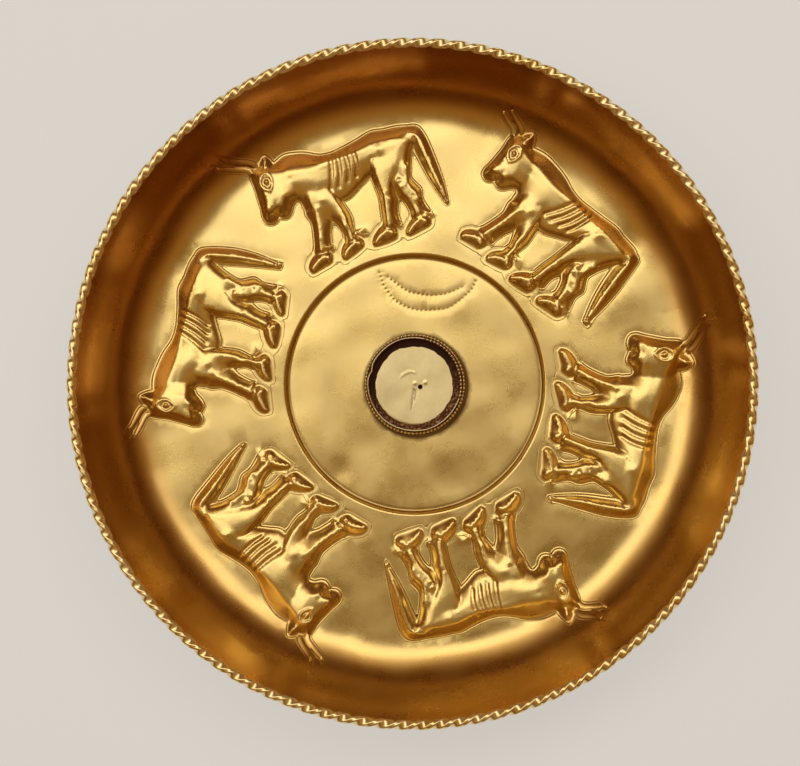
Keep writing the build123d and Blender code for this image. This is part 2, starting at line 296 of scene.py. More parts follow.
def level(height):
    """The same height all over a part."""
    return lambda points: np.full(len(points), height)


def round_below(points):
    """The belly and the chest are round, and the back falls off straight."""
    return np.interp(points[:, 1], [50.5, 52.5], [1.0, 0.1])


LEG_TOP, HOOF_TOP, TAIL_TOP, HORN_TOP = 0.50, 0.10, 0.25, 0.15
PARTS = [(FAR_FORELEG, [(FAR_FORELEG_CREST, False)], LEG_TOP, leg_height, level(0.3)),
         (FAR_FORE_HOOF, [(FAR_FORE_HOOF_CREST, False)], HOOF_TOP, level(1.0), level(0.2)),
         (FAR_HIND_LEG, [(FAR_HIND_CREST, False), (FAR_HIND_TENDON, False)], LEG_TOP, leg_height, level(0.3)),
         (FAR_HIND_HOOF, [(FAR_HIND_HOOF_CREST, False)], HOOF_TOP, level(1.0), level(0.2)),
         (TRUNK, [(TRUNK_PLATEAU, True)], 0.0, trunk_height, round_below),
         (NEAR_FORELEG, [(SHOULDER, True), (NEAR_FORE_CREST, False)], LEG_TOP,
          lambda p: leg_height(p) + 0.02, level(0.5)),
         (NEAR_FORE_HOOF, [(NEAR_FORE_HOOF_CREST, False)], HOOF_TOP, level(1.2), level(0.2)),
         (NEAR_HIND_LEG, [(THIGH, True), (NEAR_HIND_CREST, False)], LEG_TOP,
          lambda p: leg_height(p) + 0.30, level(0.5)),
         (NEAR_HIND_HOOF, [(NEAR_HIND_HOOF_CREST, False)], HOOF_TOP, level(1.2), level(0.2)),
         (TAIL, [(TAIL_CREST, False)], TAIL_TOP, level(1.2), level(0.1)),
         (REAR_HORN, [(REAR_HORN_CREST, False)], HORN_TOP, level(0.55), level(0.6)),
         (FRONT_HORN, [(FRONT_HORN_CREST, False)], HORN_TOP, level(0.60), level(0.6)),
         (HEAD, [(FOREHEAD, True)], 0.0, level(2.25), level(0.3)),
         (EAR, [(EAR_CREST, False)], 0.2, level(1.5), level(0.3))]
HOOVES, HORNS = [FAR_FORE_HOOF, FAR_HIND_HOOF, NEAR_FORE_HOOF, NEAR_HIND_HOOF], [FRONT_HORN, REAR_HORN]
line_gap = 0.43
SMOOTHED = [(curve_through(outline, 0.3, closed=True),
             [(curve_through(crest, 0.3, closed), closed) for crest, closed in crests], *rest,
             outline in HOOVES, line_gap if outline in HORNS else 0.0) for outline, crests, *rest in PARTS]
print(len(PARTS), "parts,", sum(len(part[0]) for part in SMOOTHED), "points round their outlines")

# %% [markdown]
# ## Chased lines
# With the bull raised, the goldsmith turns the bowl over and draws lines from the front: round the eye, between
# the ribs, along the horns and at the mouth. A line here is a run of points, its half width, and its depth,
# which is negative for a small ridge left standing. A knob is a place, a radius and a rise.

# %% Lines of the bull
EYE_RING = [(-16.6, 52.3), (-15.9, 53.8), (-15.0, 54.3), (-14.2, 53.6), (-13.9, 52.4), (-14.4, 50.9), (-15.1, 50.1),
            (-15.1, 50.1), (-16.1, 51.0)]
EYELID = [(-15.95, 52.2), (-15.2, 53.2), (-14.4, 52.2), (-15.1, 51.1)]
RIBS = [[(-0.4, 52.3), (-0.9, 50.2), (-1.6, 48.2), (-2.6, 46.0)], [(1.2, 52.3), (0.9, 50.4), (0.4, 48.4), (-0.7, 45.9)],
        [(2.9, 52.3), (2.8, 50.4), (2.4, 48.4), (1.5, 46.3)], [(4.7, 52.3), (4.7, 50.6), (4.4, 48.6), (3.7, 46.8)]]
SCORED = [
    (EYE_RING, True, 0.24, -0.24), (EYELID, True, 0.15, 0.22),
    ([(-15.3, 44.3), (-15.0, 45.2), (-14.5, 45.8)], False, 0.26, 0.45),
    ([(-17.2, 44.7), (-16.7, 45.3), (-16.2, 45.1), (-16.3, 44.7)], False, 0.15, 0.30),
    ([(8.2, 49.4), (7.2, 48.2), (7.3, 46.6)], False, 0.30, 0.22),
    ([(-15.6, 55.4), (-15.1, 56.5), (-14.5, 57.3)], False, 0.16, 0.30),
    ([(11.4, 41.6), (11.5, 42.6), (12.3, 42.9), (12.6, 41.9), (12.0, 41.2)], True, 0.20, -0.25),
]
SCORED += [(rib, False, 0.50, 0.34) for rib in RIBS]
DRAWN = [(curve_through(points, 0.3, closed), closed, half_width, depth)
         for points, closed, half_width, depth in SCORED]

KNOBS = [((10.2, 50.6), 0.9, 0.22), ((-15.15, 52.3), 0.42, 0.30), ((-14.8, 47.3), 0.35, -0.18),
         ((-5.0, 44.5), 0.7, 0.20), ((9.3, 39.6), 0.6, 0.28), ((-2.1, 37.4), 0.55, 0.14), ((-8.2, 36.8), 0.5, 0.14)]
SPURS = [[(-7.7, 34.3), (-7.0, 34.4), (-6.7, 33.8)], [(-0.7, 35.3), (0.1, 35.2), (0.4, 34.6)],
         [(8.0, 34.1), (8.7, 34.1), (9.0, 33.5)], [(15.1, 34.0), (15.8, 34.0), (16.1, 33.4)]]
DRAWN += [(curve_through(spur, 0.3), False, 0.30, -0.55) for spur in SPURS]


def relief(points, inset=0.0):
    """Height of the bull above the sheet, depth inside its outline, and depth inside its hooves. With an inset
    it is the hollow behind the bull."""
    height = np.zeros(len(points))
    inside, hooves = np.full(len(points), -4.0), np.full(len(points), -4.0)
    for outline, crests, half_top, top, roundness, is_hoof, set_back in SMOOTHED:
        near = np.flatnonzero(((points > outline.min(0) - 3) & (points < outline.max(0) + 3)).all(1))
        depth = depth_inside(points[near], outline) - inset
        gap, swell = np.full(len(near), np.inf), np.zeros(len(near))
        for crest, closed in crests:
            if closed:
                within = depth_inside(points[near], crest)
                swell = np.maximum(swell, 0.14 * (1 - np.exp(-np.maximum(within, 0) / 1.4)))
                gap = np.minimum(gap, np.maximum(-within, 0))
            else:
                away = distance_to(points[near], crest)
                swell = np.maximum(swell, 0.16 * np.clip(1 - away / max(half_top, 0.01), 0, 1))
                gap = np.minimum(gap, np.maximum(away - half_top, 0))
        climb = np.maximum(depth, 0)
        share = climb / (climb + gap + 1e-6)
        rounded = share * (2 - share)
        share += roundness(points[near]) * (0.5 * rounded + 0.5 * np.sqrt(np.clip(rounded, 0, 1)) - share)
        height[near] += share * np.maximum(top(points[near]) + swell - inset - height[near], 0)
        inside[near] = np.maximum(inside[near], depth - set_back)
        if is_hoof:
            hooves[near] = np.maximum(hooves[near], depth)
    if inset:
        return height, inside, hooves
    for line, closed, half_width, cut in DRAWN:
        height -= cut * np.exp(-(distance_to(points, line, closed) / half_width) ** 2)
    for place, radius, rise in KNOBS:
        height += rise * np.exp(-((points - np.array(place)) ** 2).sum(1) / radius ** 2)
    height -= 0.05 * np.exp(-((inside + line_gap) / 0.15) ** 2)
    return height, inside, hooves


# %% [markdown]
# ## Where the mesh is fine
# A bull's edge is crisp and the bare sheet is plain, so points are spent where the form turns. Rows of points
# follow every outline at its foot, in its groove and up its slope, lines get a row of their own, and an even
# lattice fills the rest. A point that comes too near to an earlier one is dropped.

# %% Points of one bull's bay
BAY_FROM, BAY_TO = -27.0, 33.0
BAY_INNER, BAY_OUTER = 29.0, 70.0


def thinned(groups):
    """Keeps the points of each group that lie further than its gap from all that were kept before."""
    cell = 1.5
    kept, grid = [], {}
    for points, gap in groups:
        for x, y in points:
            column, row = int(x // cell), int(y // cell)
            near = (other for i in (-1, 0, 1) for j in (-1, 0, 1) for other in grid.get((column + i, row + j), ()))
            if all((x - p) ** 2 + (y - q) ** 2 > gap * gap for p, q in near):
                kept.append((x, y))
                grid.setdefault((column, row), []).append((x, y))
    return np.array(kept)


def lattice(low, high, pitch):
    """A lattice of even triangles over a rectangle."""
    rows = np.arange(low[1], high[1], pitch * 0.866)
    columns = np.arange(low[0], high[0], pitch)
    return np.vstack([np.column_stack([columns + (i % 2) * pitch / 2, np.full(len(columns), row)])
                      for i, row in enumerate(rows)])


def beside(outline, offset):
    """A closed outline moved outwards by an offset, or inwards by a negative one, without its folds."""
    ahead = np.roll(outline, -1, axis=0) - np.roll(outline, 1, axis=0)
    normal = np.column_stack([ahead[:, 1], -ahead[:, 0]]) / np.hypot(*ahead.T)[:, None]
    area = (outline[:, 0] * np.roll(outline[:, 1], -1) - np.roll(outline[:, 0], -1) * outline[:, 1]).sum()
    moved = outline + normal * offset * np.sign(area)
    return moved[distance_to(moved, outline, closed=True) > abs(offset) - 0.06]


def in_bay(points):
    """Which points lie in a bay of the frieze."""
    turn = np.degrees(np.arctan2(points[:, 0], points[:, 1]))
    reach = np.hypot(points[:, 0], points[:, 1])
    return (turn > BAY_FROM + 0.4) & (turn < BAY_TO - 0.4) & (reach > BAY_INNER + 0.4) & (reach < BAY_OUTER - 0.6)


def bay_points(fine, inset):
    """Points of a bay: rows beside every outline, a row on every crest and line, and lattices between them."""
    rows = [curve_through(outline, 0.36 * fine, closed=True) for outline, *_ in PARTS]
    crests = [(curve_through(crest, 0.36 * fine, closed), 0.24 * fine)
              for _, lines, *_ in PARTS for crest, closed in lines]
    if inset:
        groups = [(beside(row, -inset), 0.4 * fine) for row in rows] + crests
    else:
        groups = [(row, 0.22) for row in rows] + crests
        groups += [(curve_through(points, 0.3, closed), 0.2) for points, closed, _, _ in SCORED]
        groups.append((lattice((-17.2, 49.8), (-13.2, 54.8), 0.24), 0.17))
        groups.append((lattice((-3.4, 46.2), (5.6, 52.8), 0.28), 0.2))
        groups += [(beside(row, 0.42), 0.28) for row in rows]
        groups += [(beside(row, 0.85), 0.34) for row in rows]
        groups += [(beside(row, -0.45), 0.34) for row in rows]
    middle = lattice((-27, 29), (23, 64), 0.50 * fine)
    _, inside, _ = relief(middle, 0.001)
    groups.append((middle[inside > -1.2], 0.40 * fine))
    groups.append((lattice((-40, 24), (40, 71), 1.25 * fine), 0.95 * fine))
    points = thinned([(points[in_bay(points)], gap) for points, gap in groups])
    return points


face_points = bay_points(1.0, 0.0)
back_points = bay_points(2.1, 0.7)
print(len(face_points), "points in a bay of the face and", len(back_points), "in a bay of the back")

# %% [markdown]
# ## Six bulls, no two alike
# Each bull was punched by hand, so no two are quite the same. A few landmarks were read for each of them: eye,
# muzzle, horn tips, back, tail and every hoof. The drawing is bent to a bull's own landmarks as a thin steel
# plate would bend, and the bend dies away at the edges of its bay.

# %% Landmarks
LANDMARKS = ["eye", "muzzle", "chin", "jaw", "ear", "front horn", "rear horn", "withers", "back", "loin", "hip",
             "rump", "tail bend", "tail", "tail tip", "belly", "flank", "far knee", "far toe", "far heel",
             "near knee", "near toe", "near heel", "hock", "hind toe", "hind heel", "far hock", "last toe",
             "last heel", "haunch"]
DRAWN_MARKS = [
    (-15.0, 52.4), (-18.2, 45.0), (-13.6, 43.9), (-11.7, 45.7), (-14.0, 57.8), (-24.7, 60.1), (-23.2, 61.9),
    (-10.0, 56.3), (-2.7, 53.8), (3.4, 53.6), (9.7, 54.7), (15.7, 53.7), (19.7, 52.0), (20.8, 44.7), (20.2, 35.2),
    (-1.0, 43.2), (6.4, 46.0), (-8.2, 36.9), (-12.4, 30.4), (-7.4, 31.6), (-2.3, 37.0), (-4.9, 30.6), (-0.1, 32.6),
    (8.4, 39.7), (2.4, 31.2), (7.6, 31.9), (13.7, 39.0), (9.9, 30.6), (15.4, 32.2), (10.0, 51.3)]
BULLS = [
    [(-15.0, 52.4), (-18.2, 45.0), (-13.6, 43.9), (-11.7, 45.7), (-13.9, 57.5), (-25.2, 59.6), (-23.4, 61.8),
     (-10.0, 56.3), (-2.7, 53.8), (3.4, 53.6), (9.7, 54.7), (15.7, 53.7), (19.7, 52.0), (20.8, 44.7), (20.2, 35.2),
     (-1.0, 43.2), (6.4, 46.0), (-8.2, 36.9), (-12.4, 30.4), (-7.4, 31.6), (-2.3, 37.0), (-4.9, 30.6), (-0.1, 32.6),
     (8.4, 39.7), (2.4, 31.2), (7.6, 31.9), (13.7, 39.0), (9.9, 30.6), (15.4, 32.2), (10.0, 51.3)],
    [(-17.2, 51.7), (-19.6, 44.6), (-15.0, 44.2), (-13.3, 45.7), (-17.1, 57.4), (-25.7, 57.6), (-24.8, 59.4),
     (-12.0, 55.8), (-2.7, 54.0), (3.6, 53.8), (9.6, 54.3), (15.7, 53.5), (17.9, 51.9), (18.9, 44.7), (18.5, 35.2),
     (-2.6, 43.4), (4.7, 46.0), (-9.7, 37.0), (-14.0, 30.4), (-9.0, 31.7), (-4.0, 37.2), (-6.7, 30.5), (-1.8, 32.4),
     (5.4, 39.7), (0.0, 30.6), (5.2, 32.0), (11.2, 38.9), (7.7, 30.7), (13.4, 32.3), (8.0, 51.3)],
    [(-15.5, 52.3), (-18.6, 45.2), (-13.3, 44.7), (-12.0, 45.8), (-14.9, 58.2), (-26.5, 60.5), (-25.6, 62.5),
     (-10.0, 56.5), (-2.7, 54.0), (3.6, 53.4), (10.0, 54.2), (16.3, 53.1), (19.6, 51.6), (20.5, 44.7), (19.1, 33.4),
     (-1.0, 43.0), (5.7, 45.3), (-8.0, 37.3), (-12.8, 29.6), (-8.0, 31.5), (-2.7, 37.0), (-5.7, 29.9), (-0.3, 32.7),
     (7.5, 39.3), (1.2, 30.8), (6.9, 31.7), (12.6, 38.5), (8.7, 29.9), (15.4, 31.4), (10.0, 50.5)],
    [(-12.8, 53.7), (-16.3, 46.6), (-12.0, 45.3), (-10.3, 46.7), (-11.9, 60.1), (-21.0, 60.8), (-19.3, 63.5),
     (-7.4, 57.1), (-1.0, 54.5), (4.4, 52.9), (10.6, 53.4), (15.7, 52.5), (21.6, 50.8), (22.2, 44.7), (20.3, 34.2),
     (1.6, 43.1), (7.2, 45.0), (-6.6, 36.9), (-11.7, 30.0), (-6.3, 31.2), (-0.7, 37.4), (-3.7, 30.0), (1.6, 32.4),
     (9.2, 38.7), (3.0, 30.3), (8.7, 31.1), (14.6, 38.9), (10.5, 29.5), (16.6, 30.2), (12.0, 50.6)],
    [(-14.2, 53.8), (-17.4, 46.7), (-13.0, 45.8), (-11.3, 47.0), (-14.1, 59.1), (-23.7, 59.2), (-22.3, 61.6),
     (-9.6, 57.3), (-2.0, 54.7), (4.0, 53.9), (10.0, 54.8), (15.7, 53.0), (19.7, 51.3), (20.5, 44.7), (20.0, 34.3),
     (0.7, 43.3), (6.2, 45.9), (-7.0, 37.0), (-11.8, 30.4), (-6.7, 31.5), (-1.1, 37.0), (-4.2, 30.8), (1.0, 32.7),
     (8.1, 39.5), (2.4, 31.2), (8.0, 31.9), (13.7, 39.0), (9.3, 30.7), (15.2, 31.8), (10.0, 52.0)],
    [(-16.5, 51.7), (-19.2, 44.7), (-15.0, 44.0), (-13.0, 46.0), (-16.1, 57.5), (-25.3, 57.5), (-24.4, 59.4),
     (-11.4, 55.5), (-2.7, 53.5), (3.4, 53.6), (8.6, 54.6), (15.0, 53.4), (18.0, 51.7), (19.7, 44.7), (18.4, 34.7),
     (-1.6, 43.5), (4.6, 46.0), (-9.0, 37.0), (-12.9, 29.7), (-8.2, 31.6), (-3.5, 37.0), (-6.2, 30.7), (-1.4, 32.7),
     (6.9, 39.5), (1.3, 31.2), (6.3, 32.0), (12.5, 38.7), (8.3, 31.0), (13.1, 32.3), (8.5, 51.0)],
]
BULL_BEARINGS = [110.0, 48.0, -10.0, -68.0, -130.0, 167.0]
assert all(len(bull) == len(LANDMARKS) for bull in BULLS)


def kernel(points, marks):
    """The thin plate's answer at each point to a push at each landmark."""
    squared = ((points[:, None] - marks[None]) ** 2).sum(2)
    return 0.5 * squared * np.log(np.maximum(squared, 1e-9))


def bent(points, there):
    """The drawing's points with its landmarks brought to a bull's own, and its bay's edges left alone."""
    here, there = np.array(DRAWN_MARKS), np.array(there)
    count = len(here)
    flat = np.column_stack([np.ones(count), here])
    system = np.block([[kernel(here, here) + 2.0 * np.eye(count), flat], [flat.T, np.zeros((3, 3))]])
    pushes = np.linalg.solve(system, np.vstack([there - here, np.zeros((3, 2))]))
    shift = kernel(points, here) @ pushes[:count] + np.column_stack([np.ones(len(points)), points]) @ pushes[count:]
    turn = np.degrees(np.arctan2(points[:, 0], points[:, 1]))
    reach = np.hypot(points[:, 0], points[:, 1])
    edge = np.minimum(np.minimum(turn - BAY_FROM, BAY_TO - turn) * np.radians(1) * reach,
                      np.minimum((reach - BAY_INNER) * 2, BAY_OUTER - reach))
    share = np.clip(edge / 2.5, 0, 1)
    return points + shift * (share * share * (3 - 2 * share))[:, None]


def turned(points, bearing):
    """Points of the drawing, carried round to a bull's bearing."""
    angle = radians(bearing - 90)
    x, y = points.T
    return np.column_stack([x * cos(angle) - y * sin(angle), x * sin(angle) + y * cos(angle)])


# %% [markdown]
# ## The sheet between the bulls
# The medallion has a crescent of punched dots, and its step needs close rings so that it turns crisply. The
# rest of the sheet is a lattice. Old hammering leaves the whole sheet very slightly uneven, and a few dents
# come from wear. These are added as soft waves, which the satin gold shows as slow changes of light.

# %% Dots, dents and hammering
CRESCENT_UPPER = [(-5.8, 23.3), (-1.8, 20.4), (1.0, 19.6), (3.7, 19.3), (7.0, 19.7), (10.3, 21.1)]
CRESCENT_LOWER = [(-7.7, 24.3), (-6.6, 21.3), (-4.4, 18.4), (-1.6, 16.7), (1.2, 16.1), (4.1, 16.1), (7.0, 16.5),
                  (9.0, 17.6), (11.2, 19.4), (12.5, 20.7), (13.3, 22.4)]
dot_pitch, dot_radius, dot_depth = 0.95, 0.26, 0.09
dots = np.vstack([curve_through(CRESCENT_LOWER, dot_pitch), curve_through(CRESCENT_UPPER, dot_pitch)])
DENTS = [((-52.1, 26.3), 4.0, -0.35), ((-55.4, -3.7), 4.5, 0.3), ((-16.2, -18.9), 2.2, -0.2),
         ((46.9, 31.1), 3.5, -0.2), ((6.6, 4.6), 0.8, -0.15), ((-50.0, 8.0), 3.0, -0.25)]


def hammering(flat):
    """Slow unevenness of the hammered sheet, with the dents of wear."""
    waves = np.random.default_rng(7)
    height = np.zeros(len(flat))
    for _ in range(26):
        length, bearing, start = waves.uniform(7, 26), waves.uniform(0, 2 * pi), waves.uniform(0, 2 * pi)
        across = flat @ np.array([cos(bearing), sin(bearing)])
        height += 0.0008 * length * np.sin(2 * pi * across / length + start)
    for place, radius, rise in DENTS:
        height += rise * np.exp(-((flat - np.array(place)) ** 2).sum(1) / radius ** 2)
    return height


def ring(reach, count):
    """Points of a circle on the flattened sheet."""
    turns = 2 * pi * np.arange(count) / count
    return np.column_stack([reach * np.cos(turns), reach * np.sin(turns)])


def spiral(low, high, pitch):
    """Evenly spread points between two circles, turned by the golden angle from one to the next."""
    area = pitch * pitch * 0.9
    count = int(pi * (high * high - low * low) / area)
    reach = np.sqrt(low * low + area * (np.arange(count) + 0.5) / pi)
    turns = np.arange(count) * pi * (3 - 5 ** 0.5)
    return np.column_stack([reach * np.cos(turns), reach * np.sin(turns)])


lip_points = 360


def sheet_points(fine):
    """Points outside the bays: the step's rings, the medallion, the dots and the upper wall."""
    step = [(ring(medallion_radius + shift, int(300 / fine)), 0.05) for shift in
            (-0.9, -0.55, -0.25, 0.0, 0.13, 0.27, 0.4, 0.53, 0.67, 0.8, 1.1)]
    groups = [(ring(lip_reach, lip_points), 0.05)] + step
    if fine == 1:
        groups += [(np.vstack([dots] + [dots + ring(size, count)[i] for size, count in ((0.2, 6), (0.4, 8))
                                        for i in range(count)]), 0.12)]
    groups += [(ring(lip_reach - 0.9, lip_points // 2), 0.5), (spiral(0, medallion_radius - 1.2, 1.3 * fine), 0.8),
               (spiral(BAY_OUTER + 0.3, lip_reach - 1.2, 1.9 * fine), 1.2 * fine)]
    return thinned(groups)


# %% [markdown]
# ## The sheet as a mesh
# All points of the flattened sheet are joined by a Delaunay triangulation, which makes the most even triangles
# that a set of points allows. Then they are lifted onto the bowl. The back is made in the same way, one sheet
# lower, with a shallower hollow behind each bull, and a rim of faces closes the two at the lip.

# %% Face and back of the bowl
def triangles(flat):
    """The Delaunay triangles over points of the flattened sheet."""
    _, _, faces, *_ = delaunay_2d_cdt([Vector(place) for place in flat.tolist()], [], [], 0, 1e-7, False)
    return np.array(faces)


def face_of_bowl():
    """Places and heights of the inner face, with how far each lies outside a bull and a hoof."""
    plain = sheet_points(1)
    height, inside, hooves = relief(face_points)
    places, heights = [plain], [np.zeros(len(plain))]
    beside_bull, beside_hoof = [np.full(len(plain), 4.0)], [np.full(len(plain), 4.0)]
    for bull, bearing in zip(BULLS, BULL_BEARINGS):
        places.append(turned(bent(face_points, bull), bearing))
        heights.append(height)
        beside_bull.append(-inside)
        beside_hoof.append(-hooves)
    flat, above = np.vstack(places), np.concatenate(heights)
    scored = np.zeros(len(flat))
    for dot in dots:
        well = np.exp(-((flat - dot) ** 2).sum(1) / dot_radius ** 2)
        above -= dot_depth * well
        scored = np.maximum(scored, 0.45 * well)
    reach = np.hypot(flat[:, 0], flat[:, 1])
    groove = np.exp(-((reach - medallion_radius + 0.35) / 0.16) ** 2)
    layers = {"scored": np.maximum(scored, groove), "beside_bull": np.concatenate(beside_bull),
              "beside_hoof": np.concatenate(beside_hoof)}
    return flat, above - 0.1 * groove, layers


def back_of_bowl():
    """Places and heights of the outer face."""
    plain = sheet_points(1.7)
    hollow, _, _ = relief(back_points, 0.7)
    places = [plain] + [turned(bent(back_points, bull), bearing) for bull, bearing in zip(BULLS, BULL_BEARINGS)]
    return np.vstack(places), np.concatenate([np.zeros(len(plain))] + [hollow] * bull_count)


def near_lip(flat):
    """1 over the sheet, and 0 at the lip, where the strip is soldered."""
    return np.clip((lip_reach - np.hypot(flat[:, 0], flat[:, 1])) / 3, 0, 1)


face_flat, face_above, face_layers = face_of_bowl()
back_flat, back_above = back_of_bowl()
face_flat_triangles, back_flat_triangles = triangles(face_flat), triangles(back_flat)
face_places = on_sheet(face_flat, face_above + hammering(face_flat) * near_lip(face_flat))
back_places = on_sheet(back_flat, back_above + hammering(back_flat) * near_lip(back_flat) - sheet)
standing = np.hypot(back_flat[:, 0], back_flat[:, 1]) < medallion_radius
back_places[standing, 2] = 0.0
back_places[:, 2] = np.clip(back_places[:, 2], 0.0, lip_height)
face_places[:, 2] = np.minimum(face_places[:, 2], lip_height)


def lip_ring(flat):
    """The numbers of the lip's points, in order round the lip."""
    rim = np.flatnonzero(np.hypot(flat[:, 0], flat[:, 1]) > lip_reach - 0.01)
    return rim[np.argsort(np.arctan2(flat[rim, 1], flat[rim, 0]))]


face_lip, back_lip = lip_ring(face_flat), lip_ring(back_flat) + len(face_flat)
bridge = np.column_stack([face_lip, np.roll(face_lip, -1), np.roll(back_lip, -1), back_lip])
faces = face_flat_triangles.tolist() + (back_flat_triangles[:, ::-1] + len(face_flat)).tolist()
faces += bridge[:, ::-1].tolist()
bowl = new_piece("hammered_bowl", np.vstack([face_places, back_places]), faces)
for name, values in face_layers.items():
    behind = np.full(len(back_flat), 0.0 if name == "scored" else 4.0)
    layer = bowl.data.attributes.new(name, "FLOAT", "POINT")
    layer.data.foreach_set("value", np.concatenate([values, behind]).astype(np.float32))
print("bowl:", len(face_flat), "points in front,", len(back_flat), "behind,", len(faces), "faces")

# %% [markdown]
# ## The twisted strip
# A narrow strip of sheet was twisted like a rope and soldered round the lip. It repeats one turn all the way
# round, so Geometry Nodes make it: a circle whose points tilt more and more, and a small rounded rectangle
# swept along it.

# %% A frame for Geometry Nodes
def node_tree(name, sockets):
    """An empty geometry tree with named inputs, given as name: (type, value)."""
    tree = bpy.data.node_groups.new(name, "GeometryNodeTree")
    tree.interface.new_socket("Geometry", in_out="OUTPUT", socket_type="NodeSocketGeometry")
    for label, (kind, value) in sockets.items():
        socket = tree.interface.new_socket(label, in_out="INPUT", socket_type=kind)
        socket.default_value = value
    return tree


def grown(name, tree, values):
    """The plain mesh that a geometry tree makes, with some of its inputs set."""
    seed = bpy.data.objects.new(name, bpy.data.meshes.new(name))
    bpy.context.scene.collection.objects.link(seed)
    modifier = seed.modifiers.new("grow", "NODES")
    modifier.node_group = tree
    for socket in tree.interface.items_tree:
        if socket.in_out == "INPUT" and socket.name in values:
            modifier[socket.identifier] = values[socket.name]
    evaluated = seed.evaluated_get(bpy.context.evaluated_depsgraph_get())
    mesh = bpy.data.meshes.new_from_object(evaluated)
    seed.modifiers.remove(modifier)
    seed.data = mesh
    mesh.name = name
    print(f"{name}: {len(mesh.polygons)} faces")
    return seed


LENGTH, COUNT = "NodeSocketFloat", "NodeSocketInt"

# %% Materials are named first, so that the trees can set them
hammered_gold = bpy.data.materials.new("hammered_gold")
worn_strip_gold = bpy.data.materials.new("worn_strip_gold")
collar_gold = bpy.data.materials.new("soldered_collar_gold")
pale_gold = bpy.data.materials.new("scratched_pale_gold")
old_cement = bpy.data.materials.new("crumbled_cement")

# %% The strip's tree
strip_width, strip_thickness, strip_turns, strip_steps = 2.1, 1.4, 55, 24
strip_round = 0.45
strip_half = ((strip_width / 2 - strip_round) ** 2 + (strip_thickness / 2 - strip_round) ** 2) ** 0.5 + strip_round
strip_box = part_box("rim_strip")
strip_radius = min(strip_box[1].x, strip_box[1].y, -strip_box[0].x, -strip_box[0].y) / MM - strip_half - 0.01
strip_middle = strip_box[1].z / MM - strip_half - 0.01

tree = node_tree("twisted_strip", {"Ring radius": (LENGTH, 0.072), "Height": (LENGTH, 0.0237), "Width": (LENGTH, 0.0021),
                                   "Thickness": (LENGTH, 0.0007), "Edge": (LENGTH, 0.0002), "Turns": (COUNT, 55),
                                   "Steps per turn": (COUNT, 24), "Wander": (LENGTH, 0.0)})
given = add_node(tree, "NodeGroupInput").outputs
stations = add_node(tree, "FunctionNodeIntegerMath", {0: given["Turns"], 1: given["Steps per turn"]},
                    operation="MULTIPLY")
circle = add_node(tree, "GeometryNodeCurvePrimitiveCircle", {"Resolution": stations.outputs[0],
                                                             "Radius": given["Ring radius"]})
upright = add_node(tree, "GeometryNodeSetCurveNormal", {"Curve": circle.outputs["Curve"]}, mode="Z_UP")
index = add_node(tree, "GeometryNodeInputIndex")
turns = add_node(tree, "ShaderNodeMath", {0: index.outputs[0], 1: given["Steps per turn"]}, operation="DIVIDE")
angle = add_node(tree, "ShaderNodeMath", {0: turns.outputs[0], 1: -2 * pi}, operation="MULTIPLY")
place = add_node(tree, "GeometryNodeInputPosition")
noise = add_node(tree, "ShaderNodeTexNoise", {"Vector": place.outputs[0], "Scale": 45.0, "Detail": 1.0})
centred = add_node(tree, "ShaderNodeMath", {0: noise.outputs["Fac"], 1: 0.5}, operation="SUBTRACT")
wander = add_node(tree, "ShaderNodeMath", {0: centred.outputs[0], 1: given["Wander"]}, operation="MULTIPLY")
tilt = add_node(tree, "ShaderNodeMath", {0: angle.outputs[0], 1: wander.outputs[0]}, operation="ADD")
tilted = add_node(tree, "GeometryNodeSetCurveTilt", {"Curve": upright.outputs["Curve"], "Tilt": tilt.outputs[0]})
section = add_node(tree, "GeometryNodeCurvePrimitiveQuadrilateral", {"Width": given["Width"],
                                                                    "Height": given["Thickness"]})
eased = add_node(tree, "GeometryNodeFilletCurve", {"Curve": section.outputs["Curve"], "Count": 3,
                                                   "Radius": given["Edge"]}, mode="POLY")
swept = add_node(tree, "GeometryNodeCurveToMesh", {"Curve": tilted.outputs["Curve"],
                                                   "Profile Curve": eased.outputs["Curve"]})
lift = add_node(tree, "ShaderNodeCombineXYZ", {"Z": given["Height"]})
raised = add_node(tree, "GeometryNodeTransform", {"Geometry": swept.outputs["Mesh"],
                                                  "Translation": lift.outputs["Vector"]})
smooth = add_node(tree, "GeometryNodeSetShadeSmooth", {"Geometry": raised.outputs["Geometry"]})
real = add_node(tree, "GeometryNodeRealizeInstances", {"Geometry": smooth.outputs["Geometry"]})
painted = add_node(tree, "GeometryNodeSetMaterial", {"Geometry": real.outputs["Geometry"],
                                                     "Material": worn_strip_gold})
add_node(tree, "NodeGroupOutput", {"Geometry": painted.outputs["Geometry"]})

rim_strip = grown("twisted_rim_strip", tree, {
    "Ring radius": strip_radius * MM, "Height": strip_middle * MM, "Width": strip_width * MM,
    "Thickness": strip_thickness * MM, "Edge": strip_round * MM, "Turns": strip_turns,
    "Steps per turn": strip_steps, "Wander": 2.4})

# %% [markdown]
# ## Beaded wires
# A wire rolled under a grooved blade comes out as a row of beads with thin necks. One bead is instanced round
# a circle, over a thin core wire, and the beads are turned to real geometry at the end because an export drops
# instances. The wire on the lip kept its beads only on one side, and is worn smooth on the other. The collar was
# knocked in at one place, so its lip and the wire on it bend there together.

